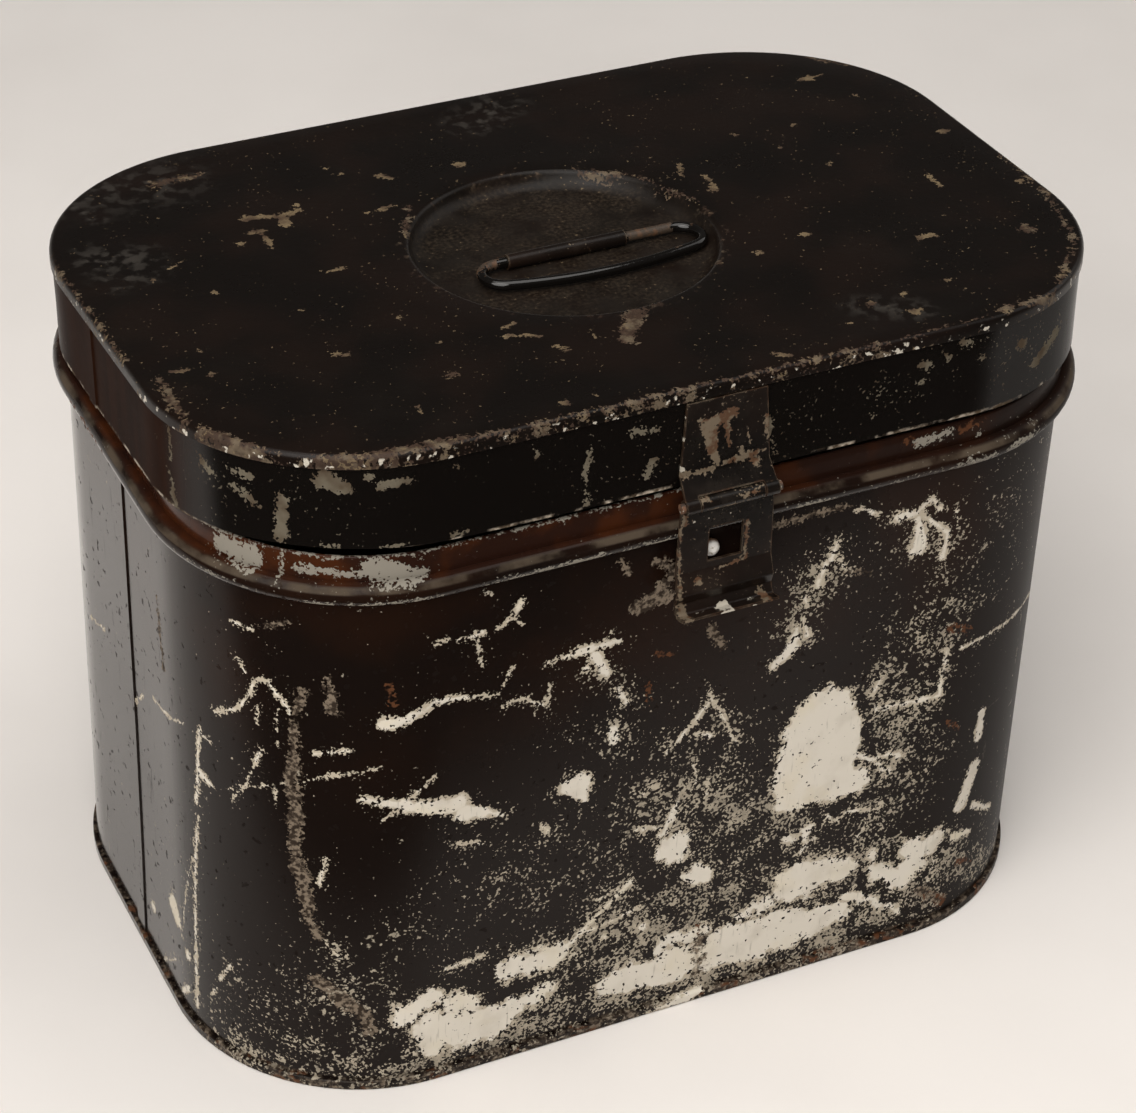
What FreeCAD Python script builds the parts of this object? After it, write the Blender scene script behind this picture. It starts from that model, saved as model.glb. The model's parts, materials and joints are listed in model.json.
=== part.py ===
import FreeCAD, Part
import math
import os

Vec = FreeCAD.Vector
up = Vec(0, 0, 1)
across = Vec(1, 0, 0)

# Plan of the lid at its top flange, mm. Every wall of the box is an offset of this rounded rectangle.
length = 304.0
depth = 206.0
corner_radius = 66.0

# Tinplate, wire and gaps
sheet = 0.7
strap_sheet = 0.8
lid_clearance = 1.6        # between the neck and the inside of the lid skirt
seat_gap = 0.3             # between the closed skirt and the bead under it
running_clearance = 0.06   # round every pin that turns
side_clearance = 0.3       # between neighbouring knuckles
swing_clearance = 0.4      # between a strap and a knuckle that turns past it

# Box wall: one sheet with a rolled bead, a neck above it and a hemmed rim
rim_height = 206.2
neck_height = 11.9         # from the middle of the bead up to the rim
bead_half = 3.6
bead_out = 4.5
rim_hem = 4.5
seam_width = 7.0
seam_proud = 0.5
seam_end_gap = 0.6

# Base panel, folded up round the foot of the wall
base_rim_height = 3.5
base_rim_out = 1.4
base_round = 0.6

# Lid
skirt_height = 32.2
flange_drop = 4.3
edge_round = 1.8
skirt_seam_width = 6.0
skirt_seam_place = 13.0    # behind the middle of the left end
lid_ajar = 3.0             # the lid rests this many degrees open

# Round recess pressed in the lid top
dish_radius = 49.5
dish_depth = 5.5
dish_edge_round = 2.0
dish_wall_slope = 75.0
dish_place = (-3.5, -4.5)

# Wire bail and the rolled clip that holds it in the recess
bail_wire = 3.2
bail_length = 77.0
bail_reach = 17.9
bail_corner = 7.0
bail_slide = 6.2           # the bail lies this far to the right of the recess's middle
bail_setback = -1.0
clip_length = 40.0
clip_tail = 7.0

# Hasp at the front
hasp_place = 2.0
hasp_pin = 3.0
hasp_pin_end = 1.2
hasp_drop = 4.5            # pin below the lower edge of the skirt
hasp_bead_gap = 0.6
hasp_width = 30.5
hasp_top_width = 26.0
hasp_foot_width = 32.5
hasp_end_knuckle = 4.5
hasp_leaf_height = 27.4
hasp_crank_height = 3.0
strap_bend = 1.5
slot_width = 11.2
slot_top = 10.4
slot_bottom = 22.4
crease_drop = 25.0
ridge_drop, ridge_out = 31.5, 2.2
trough_drop, trough_out = 35.0, 1.0
toe_drop, toe_out = 38.8, 2.5
lip_drop, lip_out = 37.6, 6.8

# Catch stud on the box wall behind the slot
stud_place = -2.5          # beside the middle of the hasp
stud_drop = 10.3           # below the middle of the bead
stud_stem = 2.2
stud_head = 2.8
stud_neck = 1.4
stud_length = 4.2

# Back hinges
hinge_spread = 58.0
hinge_width = 36.0
hinge_pin = 3.2
hinge_rise = 2.0           # axis above the lower edge of the closed skirt
hinge_end_knuckle = 9.0
hinge_leaf_height = 22.0
hinge_bead_gap = 1.8
hinge_tail = 18.0
hinge_joggle = 6.0

# Worked out from the sizes above
corner_x = length / 2 - corner_radius
corner_y = depth / 2 - corner_radius
skirt_r = corner_radius - sheet
wall_r = skirt_r - sheet - lid_clearance
wall_inside_r = wall_r - sheet
bead_height = rim_height - neck_height
bead_centre = (bead_out ** 2 - bead_half ** 2) / (2 * bead_out)
bead_radius = bead_out - bead_centre
bead_r = wall_r + bead_out
skirt_z = bead_height + bead_radius + seat_gap
lid_z = skirt_z + skirt_height
dish_floor_z = lid_z - dish_depth
hinge_knuckle = hinge_pin / 2 + strap_sheet
hinge_r = skirt_r + hinge_knuckle
hinge_z = skirt_z + hinge_rise
hinge_axis = Vec(0, corner_y + hinge_r, hinge_z)
hasp_knuckle = hasp_pin / 2 + strap_sheet
hasp_r = bead_r + hasp_bead_gap + hasp_knuckle
hasp_z = skirt_z - hasp_drop
hasp_barrel = hasp_width - 2 * (hasp_end_knuckle + side_clearance)
hasp_axis = Vec(hasp_place, -corner_y - hasp_r, hasp_z)
bail_radius = bail_wire / 2
clip_bore = bail_radius + running_clearance
clip_radius = clip_bore + sheet
bail_axis = Vec(dish_place[0] + bail_slide, dish_place[1] + bail_setback, dish_floor_z + clip_radius)


def point(r, z):
    return Vec(r, 0, z)


def profile(start, *steps):
    """Closed face in the plane of distance r and height z. A step is a point, or (via, end) for an arc."""
    edges = []
    here = point(*start)
    for step in steps + (start,):
        if isinstance(step[0], tuple):
            end = point(*step[1])
            edges.append(Part.Arc(here, point(*step[0]), end).toShape())
        else:
            end = point(*step)
            edges.append(Part.LineSegment(here, end).toShape())
        here = end
    return Part.Face(Part.Wire(edges))


def bent_strip(points, bend, gauge):
    """Edge view of a strip of sheet along its middle line, with every corner bent to one radius."""
    line = [point(*p) for p in points]
    runs = [(b - a).normalize() for a, b in zip(line, line[1:])]
    sides = []
    for side in (1, -1):
        offsets = [Vec(-run.z, 0, run.x) * (side * gauge / 2) for run in runs]
        edges = []
        here = line[0] + offsets[0]
        for i in range(1, len(line) - 1):
            turn = runs[i - 1].getAngle(runs[i])
            reach = bend * math.tan(turn / 2)
            bisector = (runs[i] - runs[i - 1]).normalize()
            centre = line[i] + bisector * (bend / math.cos(turn / 2))
            entry = line[i] - runs[i - 1] * reach + offsets[i - 1]
            leave = line[i] + runs[i] * reach + offsets[i]
            middle = centre - bisector * (entry - centre).Length
            edges.append(Part.LineSegment(here, entry).toShape())
            edges.append(Part.Arc(entry, middle, leave).toShape())
            here = leave
        end = line[-1] + offsets[-1]
        edges.append(Part.LineSegment(here, end).toShape())
        sides.append((line[0] + offsets[0], end, edges))
    (start_a, end_a, edges_a), (start_b, end_b, edges_b) = sides
    ends = [Part.LineSegment(start_a, start_b).toShape(), Part.LineSegment(end_a, end_b).toShape()]
    return Part.Face(Part.Wire(Part.__sortEdges__(edges_a + edges_b + ends)))


def ring(face):
    """Carries an edge profile round the rounded rectangle: four turned corners and four straight sides."""
    signs = ((1, 1), (-1, 1), (-1, -1), (1, -1))
    centres = [Vec(sx * corner_x, sy * corner_y, 0) for sx, sy in signs]
    pieces = []
    for quarter, centre in enumerate(centres):
        start = face.rotated(Vec(), up, 90 * quarter).translated(centre)
        pieces.append(start.revolve(centre, up, 90))
        end = face.rotated(Vec(), up, 90 * quarter + 90).translated(centre)
        pieces.append(end.extrude(centres[(quarter + 1) % 4] - centre))
    return pieces[0].fuse(pieces[1:]).removeSplitter()


def plate(r, bottom, top):
    """Flat sheet with the rounded-rectangle outline at distance r."""
    half_x, half_y = corner_x + r, corner_y + r
    blank = Part.makeBox(2 * half_x, 2 * half_y, top - bottom, Vec(-half_x, -half_y, bottom))
    corners = [e for e in blank.Edges if abs(e.tangentAt(e.FirstParameter).z) > 0.5]
    return blank.makeFillet(r, corners)


def across_strap(face, side, middle, width):
    """Extrudes an edge view across the front (side -1) or the back (side 1) of the box."""
    placed = face.rotated(Vec(), up, 90 * side).translated(Vec(middle - width / 2, side * corner_y, 0))
    return placed.extrude(across * width)


def rod(axis, radius, middle, width):
    """Cylinder along X round an axis point."""
    return Part.makeCylinder(radius, width, Vec(middle - width / 2, axis.y, axis.z), across)


def end_rods(axis, radius, middle, width, end):
    """The two end lengths of a rod of the given width."""
    offset = (width - end) / 2
    return rod(axis, radius, middle - offset, end).fuse(rod(axis, radius, middle + offset, end))


def tapered(shape, middle, top_z, top_width, foot_z, foot_width):
    """Trims a strap to straight sides that run from one width to another."""
    top, foot = top_width / 2, foot_width / 2
    corners = [(middle - top, top_z), (middle + top, top_z), (middle + foot, foot_z), (middle - foot, foot_z)]
    outline = Part.makePolygon([point(*p) for p in corners + corners[:1]])
    return shape.common(Part.Face(outline).extrude(Vec(0, -depth, 0)))


def ajar(shape):
    """Opens a piece of the closed lid to its resting angle."""
    return shape.rotated(hinge_axis, -across, lid_ajar)


def ajar_point(place):
    return ajar(Part.Vertex(place)).Point


def make_body_shell():
    inner_radius = bead_radius - sheet
    inner_half = math.sqrt(inner_radius ** 2 - (bead_centre + sheet) ** 2)
    hem_r = wall_r - 2 * sheet
    shell = ring(profile(
        (wall_r, sheet),
        (wall_r, bead_height - bead_half),
        ((bead_r, bead_height), (wall_r, bead_height + bead_half)),
        (wall_r, rim_height - sheet),
        ((wall_inside_r, rim_height), (hem_r, rim_height - sheet)),
        (hem_r, rim_height - rim_hem),
        (wall_inside_r, rim_height - rim_hem),
        (wall_inside_r, bead_height + inner_half),
        ((bead_r - sheet, bead_height), (wall_inside_r, bead_height - inner_half)),
        (wall_inside_r, sheet)))
    seam_foot = base_rim_height + seam_end_gap
    seam_top = bead_height - bead_half - seam_end_gap
    seam = Part.makeBox(sheet + seam_proud, seam_width, seam_top - seam_foot,
                        Vec(-corner_x - wall_r - seam_proud, -seam_width / 2, seam_foot))
    return shell.fuse(seam).removeSplitter()


def make_base_panel():
    rim_r = wall_r + base_rim_out
    flat_r = rim_r - base_round
    slant = base_round * (1 - math.sqrt(0.5))
    rim = ring(profile(
        (wall_r, 0),
        (flat_r, 0),
        ((rim_r - slant, slant), (rim_r, base_round)),
        (rim_r, base_rim_height - base_round),
        ((rim_r - slant, base_rim_height - slant), (flat_r, base_rim_height)),
        (wall_r, base_rim_height)))
    return rim.fuse(plate(wall_r, 0, sheet)).removeSplitter()


def make_lid_skirt():
    top = lid_z - edge_round
    inside_r = skirt_r - sheet
    skirt = ring(profile((skirt_r, skirt_z), (skirt_r, top), (inside_r, top), (inside_r, skirt_z)))
    seam_corner = Vec(-corner_x - skirt_r - seam_proud, skirt_seam_place - skirt_seam_width / 2, skirt_z)
    seam = Part.makeBox(sheet + seam_proud, skirt_seam_width, skirt_height - flange_drop, seam_corner)
    return skirt.fuse(seam).removeSplitter()


def make_lid_top():
    bend_r = corner_radius - edge_round
    diagonal = math.sqrt(0.5)
    inner_round = edge_round - sheet
    bend_z = lid_z - edge_round
    flange = ring(profile(
        (bend_r, lid_z),
        ((bend_r + edge_round * diagonal, bend_z + edge_round * diagonal), (corner_radius, bend_z)),
        (corner_radius, lid_z - flange_drop),
        (skirt_r, lid_z - flange_drop),
        (skirt_r, bend_z),
        ((bend_r + inner_round * diagonal, bend_z + inner_round * diagonal), (bend_r, lid_z - sheet))))
    panel = flange.fuse(plate(bend_r, lid_z - sheet, lid_z)).removeSplitter()
    middle = Vec(dish_place[0], dish_place[1], 0)
    hole = Part.makeCylinder(dish_radius, 2 * sheet, middle + up * (lid_z - 1.5 * sheet))
    return panel.cut(hole).fuse(make_dish().translated(middle)).removeSplitter()


def make_dish():
    """Pressed recess: a rounded edge runs into a hollow curve that ends on a flat floor."""
    slope = math.radians(dish_wall_slope)
    hollow = dish_depth / (1 - math.cos(slope)) - dish_edge_round
    floor_r = dish_radius - (dish_edge_round + hollow) * math.sin(slope)

    def edge_point(angle, radius):
        return (dish_radius - radius * math.sin(angle), lid_z - dish_edge_round + radius * math.cos(angle))

    def hollow_point(angle, radius):
        return (floor_r + radius * math.sin(angle), dish_floor_z + hollow - radius * math.cos(angle))

    under = hollow + sheet
    inner_round = dish_edge_round - sheet
    section = profile(
        (dish_radius, lid_z),
        (edge_point(slope / 2, dish_edge_round), edge_point(slope, dish_edge_round)),
        (hollow_point(slope / 2, hollow), (floor_r, dish_floor_z)),
        (0, dish_floor_z),
        (0, dish_floor_z - sheet),
        (floor_r, dish_floor_z - sheet),
        (hollow_point(slope / 2, under), hollow_point(slope, under)),
        (edge_point(slope / 2, inner_round), (dish_radius, lid_z - sheet)))
    return section.revolve(Vec(), up, 360)


def make_bail_handle():
    """Closed D of wire: a straight bar, two round corners and a flat bow between them."""
    half = bail_length / 2 - bail_radius - bail_corner
    rise = bail_reach - bail_corner
    bow = (half ** 2 + rise ** 2 - bail_corner ** 2) / (2 * (rise - bail_corner))
    bow_centre = Vec(0, bow - bail_reach, 0)
    wire = Part.Face(Part.Wire(Part.makeCircle(bail_radius, Vec(), across)))
    bar = wire.translated(Vec(-half, 0, 0)).extrude(across * (2 * half))
    lean = math.atan2(half, bow_centre.y + bail_corner)
    turn = 180 - math.degrees(lean)
    corners = [wire.translated(Vec(-half, 0, 0)).revolve(Vec(-half, -bail_corner, 0), up, turn),
               wire.translated(Vec(half, 0, 0)).revolve(Vec(half, -bail_corner, 0), -up, turn)]
    front = wire.translated(Vec(0, -bail_reach, 0))
    bows = [front.revolve(bow_centre, up * side, math.degrees(lean)) for side in (1, -1)]
    return bar.fuse(corners + bows).removeSplitter().translated(bail_axis)


def make_bail_clip():
    middle = dish_place[0]
    roll = rod(bail_axis, clip_radius, middle, clip_length)
    tail_corner = Vec(middle - clip_length / 2, bail_axis.y, dish_floor_z)
    tail = Part.makeBox(clip_length, clip_tail, sheet, tail_corner)
    return roll.fuse(tail).cut(rod(bail_axis, clip_bore, middle, clip_length)).removeSplitter()


def make_hasp_lid_leaf():
    leaf_r = skirt_r + strap_sheet / 2
    knuckle_top = hasp_z + hasp_knuckle - strap_sheet / 2
    top_z = skirt_z + hasp_leaf_height
    side_view = bent_strip([(leaf_r, top_z), (leaf_r, skirt_z + hasp_crank_height), (hasp_r, knuckle_top)],
                           strap_bend, strap_sheet)
    strap = across_strap(side_view, -1, hasp_place, hasp_width)
    strap = tapered(strap, hasp_place, top_z, hasp_top_width, hasp_z, hasp_width)
    strap = strap.cut(rod(hasp_axis, hasp_knuckle + swing_clearance, hasp_place,
                          hasp_barrel + 2 * side_clearance))
    leaf = strap.fuse(end_rods(hasp_axis, hasp_knuckle, hasp_place, hasp_width, hasp_end_knuckle))
    bore = rod(hasp_axis, hasp_pin / 2 + running_clearance, hasp_place, hasp_width)
    return leaf.cut(bore).removeSplitter()


def make_hasp_drop_leaf():
    leaf_r = hasp_r - hasp_knuckle + strap_sheet / 2
    side_view = bent_strip([(leaf_r, hasp_z), (leaf_r, hasp_z - crease_drop),
                            (leaf_r + ridge_out, hasp_z - ridge_drop),
                            (leaf_r + trough_out, hasp_z - trough_drop),
                            (leaf_r + toe_out, hasp_z - toe_drop),
                            (leaf_r + lip_out, hasp_z - lip_drop)], strap_bend, strap_sheet)
    leaf = across_strap(side_view, -1, hasp_place, hasp_foot_width)
    foot_z = hasp_z - toe_drop - strap_sheet
    leaf = tapered(leaf, hasp_place, hasp_z, hasp_width, foot_z, hasp_foot_width)
    leaf = leaf.cut(end_rods(hasp_axis, hasp_knuckle + swing_clearance, hasp_place,
                             hasp_foot_width, (hasp_foot_width - hasp_barrel) / 2))
    leaf = leaf.fuse(rod(hasp_axis, hasp_knuckle, hasp_place, hasp_barrel))
    leaf = leaf.cut(rod(hasp_axis, hasp_pin / 2, hasp_place, hasp_barrel))
    slot = Part.makeBox(slot_width, 2 * hasp_knuckle, slot_bottom - slot_top,
                        Vec(hasp_place - slot_width / 2, hasp_axis.y, hasp_z - slot_bottom))
    return leaf.cut(slot).removeSplitter()


def make_hasp_pin():
    return rod(hasp_axis, hasp_pin / 2, hasp_place, hasp_width + 2 * hasp_pin_end)


def make_catch_stud():
    """Stem and round head, turned about an axis that stands on the front wall."""
    shoulder = math.radians(45)
    dome = stud_length - stud_neck
    section = profile(
        (0, 0), (stud_stem, 0), (stud_stem, stud_neck), (stud_head, stud_neck),
        ((stud_head * math.cos(shoulder), stud_neck + dome * math.sin(shoulder)), (0, stud_length)))
    stud = section.revolve(Vec(), up, 360).rotated(Vec(), across, 90)
    return stud.translated(Vec(hasp_place + stud_place, -corner_y - wall_r, bead_height - stud_drop))


def make_hinge_lid_leaf(middle):
    top = skirt_z + hinge_leaf_height
    face_r = skirt_r + strap_sheet
    side_view = profile((skirt_r, hinge_z), (skirt_r, top), (face_r, top), (face_r, hinge_z))
    strap = across_strap(side_view, 1, middle, hinge_width)
    barrel = hinge_width - 2 * (hinge_end_knuckle + side_clearance)
    strap = strap.cut(end_rods(hinge_axis, hinge_knuckle + swing_clearance, middle,
                               hinge_width, (hinge_width - barrel) / 2))
    leaf = strap.fuse(rod(hinge_axis, hinge_knuckle, middle, barrel))
    return leaf.cut(rod(hinge_axis, hinge_pin / 2 + running_clearance, middle, barrel)).removeSplitter()


def make_hinge_body_leaf(middle):
    leaf_r = hinge_r + hinge_knuckle - strap_sheet / 2
    seat_r = wall_r + strap_sheet / 2
    joggle_z = bead_height - hinge_bead_gap
    side_view = bent_strip([(leaf_r, hinge_z), (leaf_r, joggle_z), (seat_r, joggle_z - hinge_joggle),
                            (seat_r, joggle_z - hinge_joggle - hinge_tail)], strap_bend, strap_sheet)
    strap = across_strap(side_view, 1, middle, hinge_width)
    barrel = hinge_width - 2 * hinge_end_knuckle
    strap = strap.cut(rod(hinge_axis, hinge_knuckle + swing_clearance, middle, barrel))
    leaf = strap.fuse(end_rods(hinge_axis, hinge_knuckle, middle, hinge_width, hinge_end_knuckle))
    return leaf.cut(rod(hinge_axis, hinge_pin / 2, middle, hinge_width)).removeSplitter()


def make_hinge_pin(middle):
    return rod(hinge_axis, hinge_pin / 2, middle, hinge_width)


# The drop leaf hangs plumb from its raised pin; the rest of the lid is turned with it
hasp_rest_axis = ajar_point(hasp_axis)
bail_rest_axis = ajar_point(bail_axis)
hang = hasp_rest_axis - hasp_axis

nodes = {
    "body_shell": make_body_shell(),
    "base_panel": make_base_panel(),
    "catch_stud": make_catch_stud(),
    "lid_top": ajar(make_lid_top()),
    "lid_skirt": ajar(make_lid_skirt()),
    "bail_handle": ajar(make_bail_handle()),
    "bail_clip": ajar(make_bail_clip()),
    "hasp_lid_leaf": ajar(make_hasp_lid_leaf()),
    "hasp_drop_leaf": make_hasp_drop_leaf().translated(hang),
    "hasp_pin": make_hasp_pin().translated(hang),
}
for place, middle in (("left", -hinge_spread), ("right", hinge_spread)):
    nodes["hinge_lid_leaf_" + place] = ajar(make_hinge_lid_leaf(middle))
    nodes["hinge_body_leaf_" + place] = make_hinge_body_leaf(middle)
    nodes["hinge_pin_" + place] = make_hinge_pin(middle)

os.makedirs("parts", exist_ok=True)
for name, shape in nodes.items():
    shape.exportStep("parts/" + name + ".step")
    print(name, len(shape.Solids), shape.isValid(), round(shape.Volume, 1))
for name, axis in (("lid hinge", hinge_axis), ("bail", bail_rest_axis), ("hasp", hasp_rest_axis)):
    print(name, "axis at", [round(v, 3) for v in axis])
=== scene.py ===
import json
import math
import bmesh
import bpy
from functools import partial
from mathutils import Matrix, Vector, noise


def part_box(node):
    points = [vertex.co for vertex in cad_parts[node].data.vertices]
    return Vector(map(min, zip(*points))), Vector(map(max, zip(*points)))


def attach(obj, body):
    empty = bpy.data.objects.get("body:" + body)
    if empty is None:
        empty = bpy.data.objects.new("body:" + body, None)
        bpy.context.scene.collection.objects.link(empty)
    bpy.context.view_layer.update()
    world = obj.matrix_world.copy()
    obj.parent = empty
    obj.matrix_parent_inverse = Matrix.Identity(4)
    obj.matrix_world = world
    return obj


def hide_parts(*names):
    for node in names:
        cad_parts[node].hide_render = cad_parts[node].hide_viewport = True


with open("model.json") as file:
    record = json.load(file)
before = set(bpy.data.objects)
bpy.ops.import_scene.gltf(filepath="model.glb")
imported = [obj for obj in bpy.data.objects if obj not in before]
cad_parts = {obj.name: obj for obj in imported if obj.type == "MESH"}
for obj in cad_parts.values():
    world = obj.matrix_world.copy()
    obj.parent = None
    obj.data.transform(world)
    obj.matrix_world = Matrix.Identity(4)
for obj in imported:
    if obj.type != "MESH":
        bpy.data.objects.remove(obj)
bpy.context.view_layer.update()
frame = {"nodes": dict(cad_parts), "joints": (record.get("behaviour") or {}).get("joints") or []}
nodes = frame["nodes"]
joints = {joint["name"]: joint for joint in frame["joints"]}
mm = 0.001
print("frame loaded with", len(nodes), "solids")

# plan of the tin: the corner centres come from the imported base, whose corners have this radius
planSizes = {"baseRadius": 64.4 * mm, "wallRadius": 63.0 * mm}
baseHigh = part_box("base_panel")[1]
cornerX = baseHigh.x - planSizes["baseRadius"]
cornerY = baseHigh.y - planSizes["baseRadius"]
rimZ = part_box("body_shell")[1].z

# the lid is drawn closed and then turned open about its hinge, as it rests
lidHinge = Vector(joints["lid_hinge"]["pos_m"])
lidAxis = Vector(joints["lid_hinge"]["axis"])
lidAjar = math.radians(-joints["lid_hinge"]["range_deg"][0])
lidTurn = Matrix.Translation(lidHinge) @ Matrix.Rotation(lidAjar, 4, lidAxis) @ Matrix.Translation(-lidHinge)


# meshes

sharpAngle = 28  # folds sharper than this keep a hard edge, degrees
seamEdge = 0.15  # how far the step of a lapped seam takes, mm
tiny = 1e-6


def seamLines(middle, half):
    # stations just outside a lapped seam, at its edges and in its middle
    middle, half, edge = middle * mm, half * mm, seamEdge * mm
    return (middle - half - edge, middle - half, middle, middle + half, middle + half + edge)


def atSeam(point, middle, half):
    return point.x < 0 and abs(point.y - middle * mm) <= half * mm + tiny


def walkPlan(steps, seams=()):
    # stations once round the plan: place, outward heading, and distance from the middle of the front
    right, left, front, back = cornerX, -cornerX, -cornerY, cornerY
    legs = [((0, front), (right, front), -90, -90, steps["front"]),
            ((right, front), (right, front), -90, 0, steps["corner"]),
            ((right, front), (right, back), 0, 0, steps["end"]),
            ((right, back), (right, back), 0, 90, steps["corner"]),
            ((right, back), (left, back), 90, 90, steps["back"]),
            ((left, back), (left, back), 90, 180, steps["corner"]),
            ((left, back), (left, front), 180, 180, steps["end"]),
            ((left, front), (left, front), 180, 270, steps["corner"]),
            ((left, front), (0, front), 270, 270, steps["front"])]
    stations = []
    travelled = 0
    for start, end, heading, turned, count in legs:
        shares = [step / count for step in range(count)]
        reach = (Vector(end) - Vector(start)).length
        if heading == turned == 180:
            atSeams = [(back - seam) / reach for seam in seams]
            shares = [s for s in shares if all(abs(s - a) * reach > mm for a in atSeams)] + atSeams
        reach += math.radians(turned - heading) * planSizes["wallRadius"]
        for share in sorted(shares):
            angle = math.radians(heading + (turned - heading) * share)
            place = Vector(start).lerp(Vector(end), share)
            stations.append((place, Vector((math.cos(angle), math.sin(angle))), travelled + reach * share))
        travelled += reach
    return [(p, h, a if a < travelled / 2 else a - travelled) for p, h, a in stations]


def sweepRing(stations, section, bend):
    # carries a closed outline round the plan; bend gives the changed distance out and height
    verts = []
    for place, heading, along in stations:
        for out, up in section:
            bentOut, bentUp = bend(place + heading * out, along, out, up)
            verts.append((place + heading * bentOut).to_3d() + Vector((0, 0, bentUp)))
    rows = len(section)
    faces = []
    for here in range(len(stations)):
        after = (here + 1) % len(stations)
        for row in range(rows):
            above = (row + 1) % rows
            faces.append((here * rows + row, after * rows + row, after * rows + above, here * rows + above))
    return verts, faces


def addPiece(name, verts, faces, body, material, replaced, turn=None):
    mesh = bpy.data.meshes.new(name)
    mesh.from_pydata(verts, [], faces)
    shaped = bmesh.new()
    shaped.from_mesh(mesh)
    bmesh.ops.recalc_face_normals(shaped, faces=shaped.faces)
    shaped.to_mesh(mesh)
    shaped.free()
    if turn:
        mesh.transform(turn)
    mesh.shade_smooth()
    mesh.set_sharp_from_angle(angle=math.radians(sharpAngle))
    mesh.materials.append(material)
    piece = bpy.data.objects.new(name, mesh)
    bpy.context.scene.collection.objects.link(piece)
    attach(piece, body)
    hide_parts(*replaced)
    return piece


def arc(centreOut, centreUp, radius, start, end, count):
    # points of an arc in the edge view, degrees from straight out
    points = []
    for step in range(count + 1):
        angle = math.radians(start + (end - start) * step / count)
        points.append((centreOut + radius * math.cos(angle), centreUp + radius * math.sin(angle)))
    return points


def levels(low, high, step):
    count = max(1, round((high - low) / step))
    return [low + (high - low) * k / count for k in range(count + 1)]


def ease(value, low, high):
    share = min(1, max(0, (value - low) / (high - low)))
    return share * share * (3 - 2 * share)


# shader helpers

def plug(socket, value):
    if isinstance(value, bpy.types.NodeSocket):
        socket.id_data.links.new(value, socket)
    else:
        socket.default_value = value


def addNode(kind, values, beside=None, **settings):
    # outputs of a node that takes these values, made in the tree of the first socket among them
    sockets = [beside, *values.values()]
    tree = next(socket.id_data for socket in sockets if isinstance(socket, bpy.types.NodeSocket))
    node = tree.nodes.new("ShaderNode" + kind)
    for label, setting in settings.items():
        setattr(node, label, setting)
    for label, value in values.items():
        plug(node.inputs[label], value)
    return node.outputs


def calc(operation, *values, kind="Math", result="Value"):
    return addNode(kind, dict(enumerate(values)), operation=operation)[result]


times = partial(calc, "MULTIPLY")
timesPlus = partial(calc, "MULTIPLY_ADD")
plus = partial(calc, "ADD")
less = partial(calc, "SUBTRACT")
most = partial(calc, "MAXIMUM")
measured = partial(calc, kind="VectorMath")  # a number from vectors
vectorCalc = partial(calc, kind="VectorMath", result="Vector")
stretched = partial(vectorCalc, "MULTIPLY")


def scaled(vector, factor):
    return addNode("VectorMath", {0: vector, "Scale": factor}, operation="SCALE")["Vector"]


def parted(vector):
    return addNode("SeparateXYZ", {0: vector})


def paired(first, second):
    return addNode("CombineXYZ", {0: first, 1: second})[0]


def blend(share, first, second):
    return addNode("Mix", {0: share, 6: first, 7: second}, data_type="RGBA")[2]


def blendValue(share, first, second):
    return addNode("Mix", {0: share, 2: first, 3: second})[0]


def withinOne(value):
    return addNode("Clamp", {"Value": value})[0]  # a clamp node of its own keeps long stroke groups light


def fade(value, low, high):
    ends = {"Value": value, "From Min": low, "From Max": high}
    return addNode("MapRange", ends, interpolation_type="SMOOTHSTEP")[0]


def cloudNode(place, size, detail):
    return addNode("TexNoise", {"Vector": place, "Scale": 1 / size, "Detail": detail})


def cloud(place, size, detail):
    return cloudNode(place, size, detail)[0]


def patchy(place, size, detail, low, high):
    return fade(cloud(place, size, detail), low, high)


def bumped(height, depth, strength=1.0):
    return addNode("Bump", {"Height": height, "Distance": depth, "Strength": strength})[0]


def newGroup(name, inputs, outputs, build):
    # build takes the inputs by name and gives the outputs in order
    tree = bpy.data.node_groups.new(name, "ShaderNodeTree")
    for side, sockets in (("INPUT", inputs), ("OUTPUT", outputs)):
        for label, kind in sockets.items():
            tree.interface.new_socket(name=label, in_out=side, socket_type="NodeSocket" + kind)
    given = tree.nodes.new("NodeGroupInput").outputs
    ends = tree.nodes.new("NodeGroupOutput").inputs
    for label, value in zip(outputs, build(**{label: given[label] for label in inputs})):
        plug(ends[label], value)
    return tree


def useGroup(group, **values):
    return addNode("Group", values, node_tree=group)


def tone(red, green, blue):
    return (red, green, blue, 1)


def closedLid(place):
    # the resting lid turned shut again, so that wear is placed on a level lid
    turn = {"Vector": place, "Center": lidHinge / mm, "Axis": lidAxis, "Angle": -lidAjar}
    return addNode("VectorRotate", turn, rotation_type="AXIS_ANGLE")[0]


def newMaterial(name, onLid=False):
    material = bpy.data.materials.new(name)
    material.use_nodes = True
    shader = material.node_tree.nodes["Principled BSDF"]
    coords = addNode("TexCoord", {}, beside=shader.inputs[0])
    place = stretched(coords["Object"], (1000, 1000, 1000))  # in mm
    return material, shader, closedLid(place) if onLid else place


def setSurface(shader, finish, grain, colour, worn, gloss):
    # gloss is the roughness where the surface isn't worn
    plug(shader.inputs["Base Color"], colour)
    plug(shader.inputs["Roughness"], blendValue(worn, gloss, finish["worn"]))
    shader.inputs["IOR"].default_value = finish["ior"]
    plug(shader.inputs["Normal"], bumped(grain["height"], finish["bump"] * mm))


def setCoat(shader, finish, dull):
    plug(shader.inputs["Coat Weight"], less(1, withinOne(dull)))
    shader.inputs["Coat IOR"].default_value = finish["coatIor"]
    shader.inputs["Coat Roughness"].default_value = finish["coatRough"]


# node groups that several finishes share

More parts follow.
